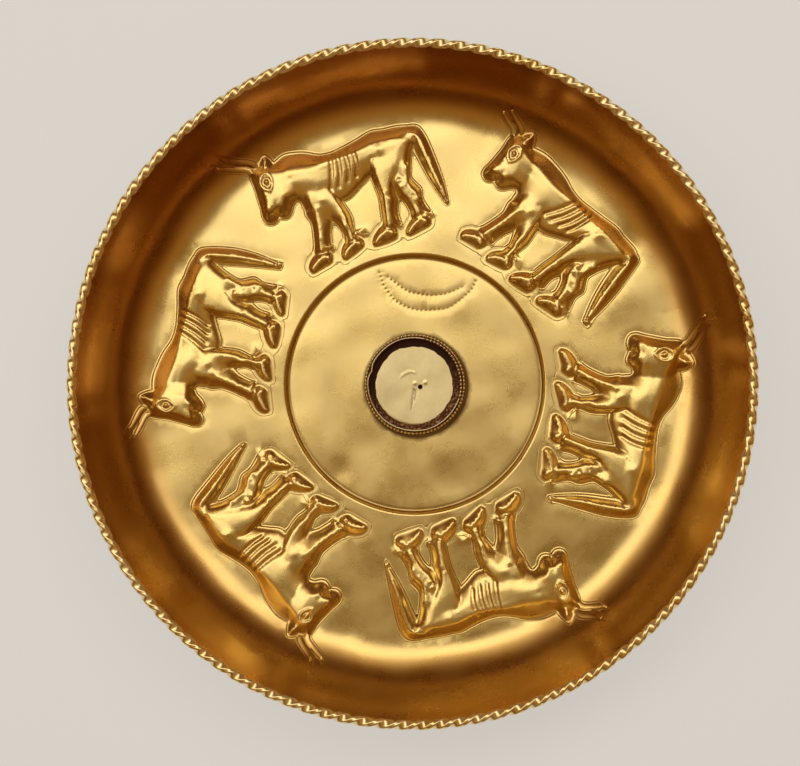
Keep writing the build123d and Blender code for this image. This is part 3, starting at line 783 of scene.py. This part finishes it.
# %% The wire's tree
tree = node_tree("beaded_wire", {"Ring radius": (LENGTH, 0.0107), "Height": (LENGTH, 0.001), "Bead": (LENGTH, 0.0008),
                                 "Beads": (COUNT, 80), "Core": (LENGTH, 0.0002), "Uneven": (LENGTH, 0.12),
                                 "Seed": (COUNT, 3), "Sound bearing": (LENGTH, 0.0), "Sound half": (LENGTH, 4.0),
                                 "Worn size": (LENGTH, 0.4)})
given = add_node(tree, "NodeGroupInput").outputs
circle = add_node(tree, "GeometryNodeCurvePrimitiveCircle", {"Resolution": given["Beads"],
                                                             "Radius": given["Ring radius"]})
core_section = add_node(tree, "GeometryNodeCurvePrimitiveCircle", {"Resolution": 8, "Radius": given["Core"]})
core = add_node(tree, "GeometryNodeCurveToMesh", {"Curve": circle.outputs["Curve"],
                                                  "Profile Curve": core_section.outputs["Curve"]})
bead = add_node(tree, "GeometryNodeMeshUVSphere", {"Segments": 10, "Rings": 7, "Radius": 0.5})
lot = add_node(tree, "FunctionNodeRandomValue", {2: 0.0, 3: 1.0, "Seed": given["Seed"]}, data_type="FLOAT")
spread = add_node(tree, "ShaderNodeMath", {0: lot.outputs[1], 1: given["Uneven"]}, operation="MULTIPLY")
share = add_node(tree, "ShaderNodeMath", {0: 1.0, 1: spread.outputs[0]}, operation="SUBTRACT")
spot = add_node(tree, "ShaderNodeSeparateXYZ", {0: add_node(tree, "GeometryNodeInputPosition").outputs[0]})
bearing = add_node(tree, "ShaderNodeMath", {0: spot.outputs["Y"], 1: spot.outputs["X"]}, operation="ARCTAN2")
sound = add_node(tree, "ShaderNodeMath", {0: bearing.outputs[0], 1: given["Sound bearing"], 2: given["Sound half"]},
                 operation="COMPARE")
kept = add_node(tree, "ShaderNodeMath", {0: sound.outputs[0], 1: given["Worn size"]}, operation="MAXIMUM")
worn = add_node(tree, "ShaderNodeMath", {0: share.outputs[0], 1: kept.outputs[0]}, operation="MULTIPLY")
size = add_node(tree, "ShaderNodeMath", {0: worn.outputs[0], 1: given["Bead"]}, operation="MULTIPLY")
placed = add_node(tree, "GeometryNodeInstanceOnPoints", {"Points": circle.outputs["Curve"],
                                                         "Instance": bead.outputs["Mesh"],
                                                         "Scale": size.outputs[0]})
real = add_node(tree, "GeometryNodeRealizeInstances", {"Geometry": placed.outputs["Instances"]})
joined = add_node(tree, "GeometryNodeJoinGeometry")
tree.links.new(real.outputs["Geometry"], joined.inputs[0])
tree.links.new(core.outputs["Mesh"], joined.inputs[0])
lift = add_node(tree, "ShaderNodeCombineXYZ", {"Z": given["Height"]})
raised = add_node(tree, "GeometryNodeTransform", {"Geometry": joined.outputs["Geometry"],
                                                  "Translation": lift.outputs["Vector"]})
smooth = add_node(tree, "GeometryNodeSetShadeSmooth", {"Geometry": raised.outputs["Geometry"]})
painted = add_node(tree, "GeometryNodeSetMaterial", {"Geometry": smooth.outputs["Geometry"], "Material": collar_gold})
add_node(tree, "NodeGroupOutput", {"Geometry": painted.outputs["Geometry"]})

# %% Two wires
collar_low, collar_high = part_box("collar")
collar_radius, collar_top = collar_high.x / MM, collar_high.z / MM
collar_wall, foot_bead, lip_bead = 0.35, 0.76, 0.62
foot_wire = grown("foot_beads", tree, {"Ring radius": (collar_radius + foot_bead / 2 - 0.02) * MM,
                                       "Height": (sheet + foot_bead / 2 - 0.05) * MM, "Bead": foot_bead * MM,
                                       "Beads": 82, "Core": 0.20 * MM, "Seed": 3})
lip_wire = grown("lip_beads", tree, {"Ring radius": (collar_radius - collar_wall / 2) * MM,
                                     "Height": (collar_top + lip_bead / 2 - 0.06) * MM, "Bead": lip_bead * MM,
                                     "Beads": 78, "Core": 0.12 * MM, "Seed": 8, "Sound bearing": radians(30),
                                     "Sound half": radians(48)})

# %% [markdown]
# ## The collar
# The collar is a plain band on edge. Its band is made as rings of points, a little uneven where the solder ran,
# and one function knocks the dent into it and into the wire on its lip.

# %% The band and its dent
def swept_rings(name, rings, count, closed=False):
    """A mesh from rings round the axis, each a function of the bearings that gives radii and heights."""
    bearings = 2 * pi * np.arange(count) / count
    points = []
    for ring_shape in rings:
        radii, heights = ring_shape(bearings)
        points.append(np.column_stack([radii * np.cos(bearings), radii * np.sin(bearings),
                                       heights * np.ones(count)]))
    faces = []
    pairs = list(zip(range(len(rings)), range(1, len(rings)))) + ([(len(rings) - 1, 0)] if closed else [])
    for low, high in pairs:
        for i in range(count):
            after = (i + 1) % count
            faces.append((low * count + i, low * count + after, high * count + after, high * count + i))
    return np.vstack(points), faces


def knocked_in(piece, low, high):
    """Pushes a piece inwards at the dent, by more the higher it stands."""
    points = np.empty(len(piece.data.vertices) * 3)
    piece.data.vertices.foreach_get("co", points)
    points = points.reshape(-1, 3)
    bearing = np.arctan2(points[:, 1], points[:, 0])
    miss = (bearing - radians(163) + pi) % (2 * pi) - pi
    push = 0.45 * MM * np.exp(-(miss / 0.10) ** 2) * np.clip((points[:, 2] / MM - low) / (high - low), 0, 1)
    sway = 0.10 * MM * np.sin(3 * bearing + 0.6) * np.clip((points[:, 2] / MM - low) / (high - low), 0, 1)
    radius = np.hypot(points[:, 0], points[:, 1])
    points[:, :2] *= ((radius - push - np.abs(sway)) / radius)[:, None]
    piece.data.vertices.foreach_set("co", points.ravel())
    piece.data.update()


inner = collar_radius - collar_wall
band = [(inner, sheet), (inner, sheet + 0.9), (inner, collar_top - 0.5), (inner + 0.04, collar_top - 0.05),
        (inner + 0.12, collar_top), (collar_radius - 0.12, collar_top), (collar_radius - 0.04, collar_top - 0.05),
        (collar_radius, collar_top - 0.5), (collar_radius, sheet + 0.9), (collar_radius, sheet)]
rings = [lambda b, r=radius, z=height: (r * np.ones(len(b)), z) for radius, height in band]
points, faces = swept_rings("collar", rings, 144, closed=True)
collar = new_piece("collar_band", points, [face[::-1] for face in faces])
collar.data.materials.append(collar_gold)
knocked_in(collar, sheet, collar_top)
knocked_in(lip_wire, sheet, collar_top)
print("collar:", len(collar.data.polygons), "faces")

# %% [markdown]
# ## The pale disc and the cement
# Inside the collar lies a disc of paler gold, with the hole of a pin, a few scratches and some raised specks.
# Round it sits what is left of the brown cement that held the inlay, lumpy and broken.

# %% The disc
disc_low, disc_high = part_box("setting_disc")
disc_radius, disc_top = disc_high.x / MM - 0.01, disc_high.z / MM
PIN_HOLE = (1.2, -0.6)
DISC_MARKS = [((0.0, 0.2), 0.26, 0.60), ((2.3, 0.4), 0.26, 0.60), ((-2.6, 2.0), 1.6, -0.10), ((3.6, -3.0), 2.2, 0.08),
              ((-4.2, -3.4), 2.4, -0.10), ((1.2, 5.0), 2.0, -0.07)]
SCRATCHES = [[(-3.0, 1.6), (-2.2, 2.3), (-1.2, 2.7), (-0.2, 2.6)], [(-0.2, -1.0), (-0.5, -3.0), (-0.8, -5.5)],
             [(0.2, -1.4), (0.0, -3.6)]]
hole_radius, hole_depth = 0.50, 0.34


def on_disc(flat):
    """Heights of the disc's top: pin hole, specks, scratches and a slight warp."""
    hole = np.hypot(*(flat - np.array(PIN_HOLE)).T)
    height = -hole_depth * np.clip((hole_radius - hole) / 0.12, 0, 1) - 0.12
    for place, radius, rise in DISC_MARKS:
        height += rise * 0.3 * np.exp(-((flat - np.array(place)) ** 2).sum(1) / radius ** 2)
    for scratch, cut in zip(SCRATCHES, (-0.06, 0.05, 0.05)):
        height -= cut * np.exp(-(distance_to(flat, np.array(scratch)) / 0.10) ** 2)
    return np.minimum(height, 0)


flat = thinned([(ring(disc_radius, 120), 0.05), (ring(disc_radius - 0.15, 120), 0.05)]
               + [(np.array(PIN_HOLE) + ring(size, 16), 0.05) for size in (0.34, 0.42, 0.50, 0.60)]
               + [(curve_through(scratch, 0.15), 0.08) for scratch in SCRATCHES]
               + [(spiral(0, disc_radius - 0.3, 0.30), 0.2)])
rim = np.flatnonzero(np.hypot(*flat.T) > disc_radius - 0.01)
rim = rim[np.argsort(np.arctan2(flat[rim, 1], flat[rim, 0]))]
top = np.column_stack([flat, disc_top + on_disc(flat)])
top[rim, 2] -= 0.05
foot = np.column_stack([flat[rim], np.full(len(rim), sheet + 0.01)])
middle = np.array([[0.0, 0.0, sheet + 0.01]])
faces = triangles(flat).tolist()
for i in range(len(rim)):
    after = (i + 1) % len(rim)
    faces.append([rim[i], len(flat) + i, len(flat) + after, rim[after]])
    faces.append([len(flat) + i, len(flat) + len(rim), len(flat) + after])
disc = new_piece("pale_disc", np.vstack([top, foot, middle]), faces)
disc.data.materials.append(pale_gold)
dirt = np.zeros(len(disc.data.vertices), np.float32)
dirt[:len(flat)] = np.clip((hole_radius + 0.05 - np.hypot(*(flat - np.array(PIN_HOLE)).T)) / 0.12, 0, 1)
for scratch in SCRATCHES[1:]:
    dirt[:len(flat)] = np.maximum(dirt[:len(flat)], 0.45 * np.exp(-(distance_to(flat, np.array(scratch)) / 0.12) ** 2))
disc.data.attributes.new("scored", "FLOAT", "POINT").data.foreach_set("value", dirt)
print("disc:", len(disc.data.polygons), "faces")

# %% The cement
cement_low, cement_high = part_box("cement_ring")
cement_outer, cement_top = cement_high.x / MM - 0.01, cement_high.z / MM


def lumps(bearings, place, strength):
    """Uneven heights round the ring, the same each time."""
    waves = np.random.default_rng(21 + place)
    total = np.zeros(len(bearings))
    for count in (3, 5, 8, 13, 21, 34, 55):
        total += np.sin(count * bearings + waves.uniform(0, 2 * pi)) * waves.uniform(0.5, 1) / count ** 0.5
    return strength * total / 2


def cement_shape(share, place):
    """One ring of the cement, from its ragged inner edge at 0 to the collar at 1."""
    def shape(bearings):
        heavy = np.interp(np.degrees(bearings) % 360, [0, 60, 100, 140, 190, 240, 280, 330, 360],
                          [0.62, 0.50, 0.70, 0.50, 0.20, 0.02, 0.02, 0.55, 0.62])
        inner_edge = disc_radius + 0.15 - 1.15 * heavy + lumps(bearings, 3, 0.42)
        radii = inner_edge + share * (cement_outer - inner_edge)
        rise = (share ** 1.6) * (0.15 + 0.65 * heavy)
        heights = disc_top - 0.06 + rise * (cement_top - disc_top) / 0.8
        heights += np.sin(pi * min(share * 1.4, 1)) * lumps(bearings, place, 0.13)
        return np.minimum(radii, cement_outer), np.clip(heights, disc_top - 0.08, cement_top)
    return shape


shares = np.linspace(0, 1, 9)
rings = [cement_shape(share, 5 + i) for i, share in enumerate(shares)]
rings += [lambda b: (cement_outer * np.ones(len(b)), sheet + 0.02),
          lambda b: ((disc_radius - 1.4) * np.ones(len(b)), sheet + 0.02)]
points, faces = swept_rings("cement", rings, 240, closed=True)
cement = new_piece("crumbled_cement_ring", points, faces)
cement.data.materials.append(old_cement)
print("cement:", len(cement.data.polygons), "faces")

# %% [markdown]
# ## Gold
# This is gold of about 22 carats, hammered, planished and then handled for centuries. It gives the eye a warm
# satin: broad soft highlights, deep orange where gold looks at gold, fine scratches that run every way, and a
# brown line wherever dirt stays in a chased groove. Metallic is 1 and the default IOR is kept.

# %% Shader parts
def principled(material, **values):
    """Clears a material and gives it one Principled shader with constants on its own sockets."""
    material.use_nodes = True
    tree = material.node_tree
    tree.nodes.clear()
    shader = add_node(tree, "ShaderNodeBsdfPrincipled", values)
    add_node(tree, "ShaderNodeOutputMaterial", {"Surface": shader.outputs["BSDF"]})
    return tree, shader


def gold(material, light, dark, dirt, rough, grain_mm, bump_mm, attribute=None):
    """A worn gold: tint and roughness vary slowly, fine grain bumps it, and dirt fills the scored lines."""
    tree, shader = principled(material, Metallic=1.0)
    place = add_node(tree, "ShaderNodeTexCoord").outputs["Object"]
    cloud = add_node(tree, "ShaderNodeTexNoise", {"Vector": place, "Scale": 1 / (9 * MM), "Detail": 5.0,
                                                  "Roughness": 0.6})
    tint = add_node(tree, "ShaderNodeValToRGB", {"Fac": cloud.outputs["Fac"]})
    set_ramp(tint.color_ramp, [(0.25, colour(dark)), (0.75, colour(light))])
    shade = tint.outputs["Color"]
    if attribute:
        line = add_node(tree, "ShaderNodeAttribute", attribute_name=attribute)
        shade = mixed(tree, line.outputs["Fac"], shade, colour(dirt))
    tree.links.new(shade, shader.inputs["Base Color"])
    grain = add_node(tree, "ShaderNodeTexNoise", {"Vector": place, "Scale": 1 / (grain_mm * MM), "Detail": 3.0,
                                                  "Roughness": 0.65})
    rough_range = add_node(tree, "ShaderNodeMapRange", {"Value": cloud.outputs["Fac"], 1: 0.3, 2: 0.7,
                                                        3: rough - 0.04, 4: rough + 0.05})
    tree.links.new(rough_range.outputs["Result"], shader.inputs["Roughness"])
    bump = add_node(tree, "ShaderNodeBump", {"Height": grain.outputs["Fac"], "Distance": bump_mm * MM,
                                             "Strength": 1.0})
    tree.links.new(bump.outputs["Normal"], shader.inputs["Normal"])
    return tree, shader


def mixed(tree, factor, first, second):
    """One colour over another."""
    return add_node(tree, "ShaderNodeMix", {"Factor": factor, 6: first, 7: second}, data_type="RGBA").outputs[2]


def ramp_over(tree, value, stops):
    """A grey ramp over a value in millimetres, given as (millimetres, grey), up to the last stop."""
    end = stops[-1][0]
    share = add_node(tree, "ShaderNodeMath", {0: value, 1: 1 / end}, operation="MULTIPLY")
    ramp = add_node(tree, "ShaderNodeValToRGB", {"Fac": share.outputs[0]})
    set_ramp(ramp.color_ramp, [(place / end, (grey, grey, grey, 1.0)) for place, grey in stops])
    return ramp.outputs["Color"]


hammered_tree, hammered_shader = gold(hammered_gold, "#F2DC9A", "#E6C97E", "#6B431C", 0.28, 0.9, 0.006, "scored")
gold(worn_strip_gold, "#FFF2C4", "#F0D084", "#7A4A1C", 0.30, 0.7, 0.010)
gold(pale_gold, "#FBEFC0", "#D8C994", "#2A1B10", 0.34, 0.35, 0.014, "scored")
collar_tree, collar_shader = gold(collar_gold, "#E3BE72", "#B58A45", "#6A4320", 0.22, 0.5, 0.010)
bowl.data.materials.append(hammered_gold)

# %% [markdown]
# ## The chased outline
# The chasing tool ran round every bull, half a millimetre outside it, and threw up a small burr beyond its
# line. Round the hooves it ran twice. The mesh carries the distance from the bull at each point, so the shader
# can draw lines much finer than its triangles, and break them where the tool was lifted.

# %% Lines from the distance to a bull
tree, shader = hammered_tree, hammered_shader
from_bull = add_node(tree, "ShaderNodeAttribute", attribute_name="beside_bull").outputs["Fac"]
from_hoof = add_node(tree, "ShaderNodeAttribute", attribute_name="beside_hoof").outputs["Fac"]
place = add_node(tree, "ShaderNodeTexCoord").outputs["Object"]
press = add_node(tree, "ShaderNodeTexNoise", {"Vector": place, "Scale": 1 / (2.5 * MM), "Detail": 2.0})
pressed = add_node(tree, "ShaderNodeMapRange", {"Value": press.outputs["Fac"], 1: 0.35, 2: 0.60, 3: 0.25, 4: 1.0})
near_line = ramp_over(tree, from_bull, [(0.0, 0.0), (0.32, 0.0), (0.43, 1.0), (0.54, 0.0), (2.0, 0.0)])
far_line = ramp_over(tree, from_hoof, [(0.0, 0.0), (0.87, 0.0), (0.97, 0.7), (1.07, 0.0), (2.0, 0.0)])
clear = ramp_over(tree, from_bull, [(0.0, 0.0), (0.6, 0.0), (0.8, 1.0), (2.0, 1.0)])
outer = add_node(tree, "ShaderNodeMath", {0: far_line, 1: clear}, operation="MULTIPLY")
off_hoof = ramp_over(tree, from_hoof, [(0.0, 0.0), (0.7, 0.0), (1.1, 1.0), (2.0, 1.0)])
inner_line = add_node(tree, "ShaderNodeMath", {0: near_line, 1: off_hoof}, operation="MULTIPLY")
drawn = add_node(tree, "ShaderNodeMath", {0: inner_line.outputs[0], 1: outer.outputs[0]}, operation="MAXIMUM")
dirty = add_node(tree, "ShaderNodeMath", {0: drawn.outputs[0], 1: pressed.outputs["Result"]}, operation="MULTIPLY")
plain_shade = shader.inputs["Base Color"].links[0].from_socket
tree.links.new(mixed(tree, dirty.outputs[0], plain_shade, colour("#4E3115")), shader.inputs["Base Color"])
near_burr = ramp_over(tree, from_bull, [(0.0, 0.5), (0.32, 0.5), (0.43, 0.1), (0.54, 0.55), (0.66, 0.8), (0.84, 0.5),
                                        (2.0, 0.5)])
cut = add_node(tree, "ShaderNodeMath", {0: outer.outputs[0], 1: -0.4}, operation="MULTIPLY")
near_burr = mixed(tree, off_hoof, (0.5, 0.5, 0.5, 1.0), near_burr)
height = add_node(tree, "ShaderNodeMath", {0: near_burr, 1: cut.outputs[0]}, operation="ADD")
grain_bump = shader.inputs["Normal"].links[0].from_socket
line_bump = add_node(tree, "ShaderNodeBump", {"Height": height.outputs[0], "Distance": 0.13 * MM, "Strength": 1.0,
                                              "Normal": grain_bump})
tree.links.new(line_bump.outputs["Normal"], shader.inputs["Normal"])

# %% Painted shadow round the collar's foot, painted shade on the upper wall, and painted shade and highlights on the collar and its beads
# Painted shadow: a dark brown ring is painted on the sheet just outside the collar's foot. Its middle is moved towards
# +x and −y, away from the lamps.
spot = add_node(tree, "ShaderNodeSeparateXYZ", {0: place})
level_place = add_node(tree, "ShaderNodeCombineXYZ", {"X": spot.outputs["X"], "Y": spot.outputs["Y"]})
shifted = add_node(tree, "ShaderNodeVectorMath", {0: level_place.outputs[0], 1: (0.40 * MM, -0.40 * MM, 0.0)},
                   operation="SUBTRACT")
from_shadow_centre = add_node(tree, "ShaderNodeVectorMath", {0: shifted.outputs[0]}, operation="LENGTH").outputs["Value"]
ragged = add_node(tree, "ShaderNodeTexNoise", {"Vector": place, "Scale": 1 / (3 * MM), "Detail": 2.0})
edge = add_node(tree, "ShaderNodeMapRange", {"Value": ragged.outputs["Fac"], 1: 0.35, 2: 0.65,
                                             3: 11.7 * MM, 4: 12.5 * MM})
foot_shadow_share = add_node(tree, "ShaderNodeMapRange", {"Value": from_shadow_centre, 1: edge.outputs["Result"], 2: 11.2 * MM,
                                              3: 0.0, 4: 0.95})
plain_shade = shader.inputs["Base Color"].links[0].from_socket
with_foot_shadow = mixed(tree, foot_shadow_share.outputs["Result"], plain_shade, colour("#54300F"))
# Painted shade and reflection: the upper wall is painted a deeper, redder orange, most on the side towards +y, where
# gold shows gold.
from_middle = add_node(tree, "ShaderNodeVectorMath", {0: level_place.outputs[0]}, operation="LENGTH").outputs["Value"]
on_wall = add_node(tree, "ShaderNodeMapRange", {"Value": from_middle, 1: 56 * MM, 2: 64 * MM, 3: 0.0, 4: 0.92})
towards_top = add_node(tree, "ShaderNodeVectorMath", {0: level_place.outputs[0], 1: (-0.42, 0.91, 0.0)},
                       operation="DOT_PRODUCT").outputs["Value"]
wall_shade_share = add_node(tree, "ShaderNodeMapRange", {"Value": towards_top, 1: -50 * MM, 2: 60 * MM, 3: 0.0, 4: 1.0})
painted_wall_shade = mixed(tree, wall_shade_share.outputs["Result"], colour("#DCB264"), colour("#B0702F"))
tree.links.new(mixed(tree, on_wall.outputs["Result"], with_foot_shadow, painted_wall_shade), shader.inputs["Base Color"])

tree, shader = collar_tree, collar_shader
place = add_node(tree, "ShaderNodeTexCoord").outputs["Object"]
spot = add_node(tree, "ShaderNodeSeparateXYZ", {0: place})
# Painted shade and highlight on the foot beads: pale cream on their tops, dark brown below their middles and between
# them.
foot = add_node(tree, "ShaderNodeMapRange", {"Value": spot.outputs["Z"], 1: (sheet + 0.40) * MM,
                                             2: (sheet + 0.62) * MM, 3: 1.0, 4: 0.0})
bearing = add_node(tree, "ShaderNodeMath", {0: spot.outputs["Y"], 1: spot.outputs["X"]}, operation="ARCTAN2")
beaded = add_node(tree, "ShaderNodeMath", {0: bearing.outputs[0], 1: radians(30), 2: radians(48)}, operation="COMPARE")
lifted = add_node(tree, "ShaderNodeMath", {0: beaded.outputs[0], 1: 0.30 * MM, 2: spot.outputs["Z"]},
                  operation="MULTIPLY_ADD")
lifted = add_node(tree, "ShaderNodeMath", {0: beaded.outputs[0], 1: -0.77 * MM, 2: lifted.outputs[0]},
                  operation="MULTIPLY_ADD")
# Painted highlight: the collar's top edge and the tops of the lip's beads are painted near white. The band below is
# painted dark as painted shade.
lip_highlight_share = add_node(tree, "ShaderNodeMapRange", {"Value": lifted.outputs[0], 1: (collar_top - 0.15) * MM,
                                                 2: collar_top * MM, 3: 0.0, 4: 0.9})
plain_shade = shader.inputs["Base Color"].links[0].from_socket
painted_band_shade = mixed(tree, 0.75, plain_shade, colour("#34190A"))
band_with_lip_highlight = mixed(tree, lip_highlight_share.outputs["Result"], painted_band_shade, colour("#FFFBE6"))
low = add_node(tree, "ShaderNodeMath", {0: spot.outputs["Z"], 1: (sheet + 1.0) * MM}, operation="LESS_THAN")
beads = mixed(tree, foot.outputs["Result"], colour("#FBE6AE"), colour("#2E170A"))
tree.links.new(mixed(tree, low.outputs[0], band_with_lip_highlight, beads), shader.inputs["Base Color"])

# %% Cement
tree, shader = principled(old_cement, Roughness=0.85)
place = add_node(tree, "ShaderNodeTexCoord").outputs["Object"]
crumbs = add_node(tree, "ShaderNodeTexNoise", {"Vector": place, "Scale": 1 / (0.5 * MM), "Detail": 6.0})
tint = add_node(tree, "ShaderNodeValToRGB", {"Fac": crumbs.outputs["Fac"]})
set_ramp(tint.color_ramp, [(0.40, colour("#5A3419")), (0.55, colour("#8E5F3C")), (0.66, colour("#D8B48E"))])
# Painted shadow: the cement is painted dark on the side towards +y and a little −x, where the collar's wall would shade
# it. The shadow fades towards the other side.
across = add_node(tree, "ShaderNodeVectorMath", {0: place, 1: (0.35, -0.94, 0.0)}, operation="DOT_PRODUCT")
collar_shadow_share = add_node(tree, "ShaderNodeMapRange", {"Value": across.outputs["Value"], 1: -3.0 * MM, 2: 7.0 * MM,
                                              3: 1.0, 4: 0.1})
tree.links.new(mixed(tree, collar_shadow_share.outputs["Result"], tint.outputs["Color"], colour("#3A1A0C")),
               shader.inputs["Base Color"])
bump = add_node(tree, "ShaderNodeBump", {"Height": crumbs.outputs["Fac"], "Distance": 0.15 * MM})
tree.links.new(bump.outputs["Normal"], shader.inputs["Normal"])
print("materials:", [material.name for material in bpy.data.materials])

# %% [markdown]
# ## Each piece on its body
# A phiale has nothing that moves, so every piece rides on the one body, and stands for the plain solid that
# it dresses.

# %% Riding and replacing
DRESSED = [(bowl, "bowl", "hammered_gold"), (rim_strip, "rim_strip", "strip_gold"), (collar, "collar", "collar_gold"),
           (lip_wire, "upper_beaded_wire", "collar_gold"), (foot_wire, "foot_beaded_wire", "collar_gold"),
           (disc, "setting_disc", "pale_gold"), (cement, "cement_ring", "old_cement")]
for piece, node, slot in DRESSED:
    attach(piece, "root")
    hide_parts(node)
print(len(DRESSED), "pieces dressed")

# %% [markdown]
# ## Floor, light and camera
# The bowl stands on a plain pale floor. Polished gold shows what is round it, so the light is drawn as the
# gold should show it: one large soft panel overhead, on the side of the picture's top, lights the upper half of
# the floor, and the sky is dim and warm, which keeps the walls deep orange. Its horizon is a pale backdrop.

# %% Floor
floor_half = 1500.0
floor = new_piece("floor", [(-floor_half, -floor_half, 0), (floor_half, -floor_half, 0),
                            (floor_half, floor_half, 0), (-floor_half, floor_half, 0)], [(0, 1, 2, 3)])
paper = bpy.data.materials.new("pale_paper")
tree, shader = principled(paper, Roughness=0.9)
shader.inputs["Base Color"].default_value = colour("#EFEDE8")
ray = add_node(tree, "ShaderNodeLightPath")
seen = add_node(tree, "ShaderNodeMath", {0: ray.outputs["Is Camera Ray"], 1: ray.outputs["Is Glossy Ray"]},
                operation="MAXIMUM")
seen = add_node(tree, "ShaderNodeMath", {0: seen.outputs[0], 1: ray.outputs["Is Transmission Ray"]},
                operation="MAXIMUM")
lift = add_node(tree, "ShaderNodeMath", {0: seen.outputs[0], 1: 0.6}, operation="MULTIPLY")
glow = add_node(tree, "ShaderNodeEmission", {"Color": colour("#F1F0EC"), "Strength": 1.0})
lifted = add_node(tree, "ShaderNodeMixShader", {0: lift.outputs[0], 1: shader.outputs["BSDF"],
                                                2: glow.outputs["Emission"]})
tree.links.new(lifted.outputs[0], tree.nodes["Material Output"].inputs["Surface"])
floor.data.materials.append(paper)

# %% Lamps and sky
def lamp(name, place, turn, size, power, tint="#FFFFFF"):
    """A level lamp panel at a place in millimetres, turned by some degrees about the upright."""
    light = bpy.data.lights.new(name, "AREA")
    light.shape = "RECTANGLE"
    light.size, light.size_y = size[0] * MM, size[1] * MM
    light.energy = power
    light.color = colour(tint)[:3]
    holder = bpy.data.objects.new(name, light)
    holder.location = Vector(place) * MM
    holder.rotation_euler = (0, 0, radians(turn))
    bpy.context.scene.collection.objects.link(holder)


lamp("near_panel", (-55, 182, 600), 18, (820, 310), 1.24, "#FFFBF0")
lamp("far_panel", (-149, 487, 600), 18, (820, 300), 0.20, "#FFF0D8")

world = bpy.data.worlds.new("studio")
bpy.context.scene.world = world
world.use_nodes = True
tree = world.node_tree
tree.nodes.clear()
direction = add_node(tree, "ShaderNodeTexCoord").outputs["Generated"]
parts = add_node(tree, "ShaderNodeSeparateXYZ", {0: direction})
sky = add_node(tree, "ShaderNodeValToRGB", {"Fac": parts.outputs["Z"]})
set_ramp(sky.color_ramp, [(0.0, colour("#C9C3B8")), (0.09, colour("#B8B0A4")), (0.16, colour("#3C1E0C")),
                          (0.50, colour("#704518")), (0.80, colour("#A87E40")), (0.93, colour("#94703C")),
                          (1.0, colour("#70592F"))])
plain = add_node(tree, "ShaderNodeBackground", {"Color": sky.outputs["Color"], "Strength": 1.0})
add_node(tree, "ShaderNodeOutputWorld", {"Surface": plain.outputs[0]})

# %% Camera
camera_data = bpy.data.cameras.new("camera")
camera_data.lens = 138.8
camera_data.sensor_width = 36.0
camera_data.sensor_fit = "HORIZONTAL"
camera_data.clip_start = 0.01
camera = bpy.data.objects.new("camera", camera_data)
camera_place, camera_aim = Vector((20.8, -5.0, 672.5)), Vector((-2.44, 0.1, 22.5))
backwards = (camera_place - camera_aim).normalized()
rightwards = Vector((0, 1, 0)).cross(backwards).normalized()
upwards = backwards.cross(rightwards)
camera.location = camera_place * MM
camera.rotation_euler = Matrix((rightwards, upwards, backwards)).transposed().to_euler()
bpy.context.scene.collection.objects.link(camera)
bpy.context.scene.camera = camera
bpy.context.scene.view_settings.view_transform = "Standard"
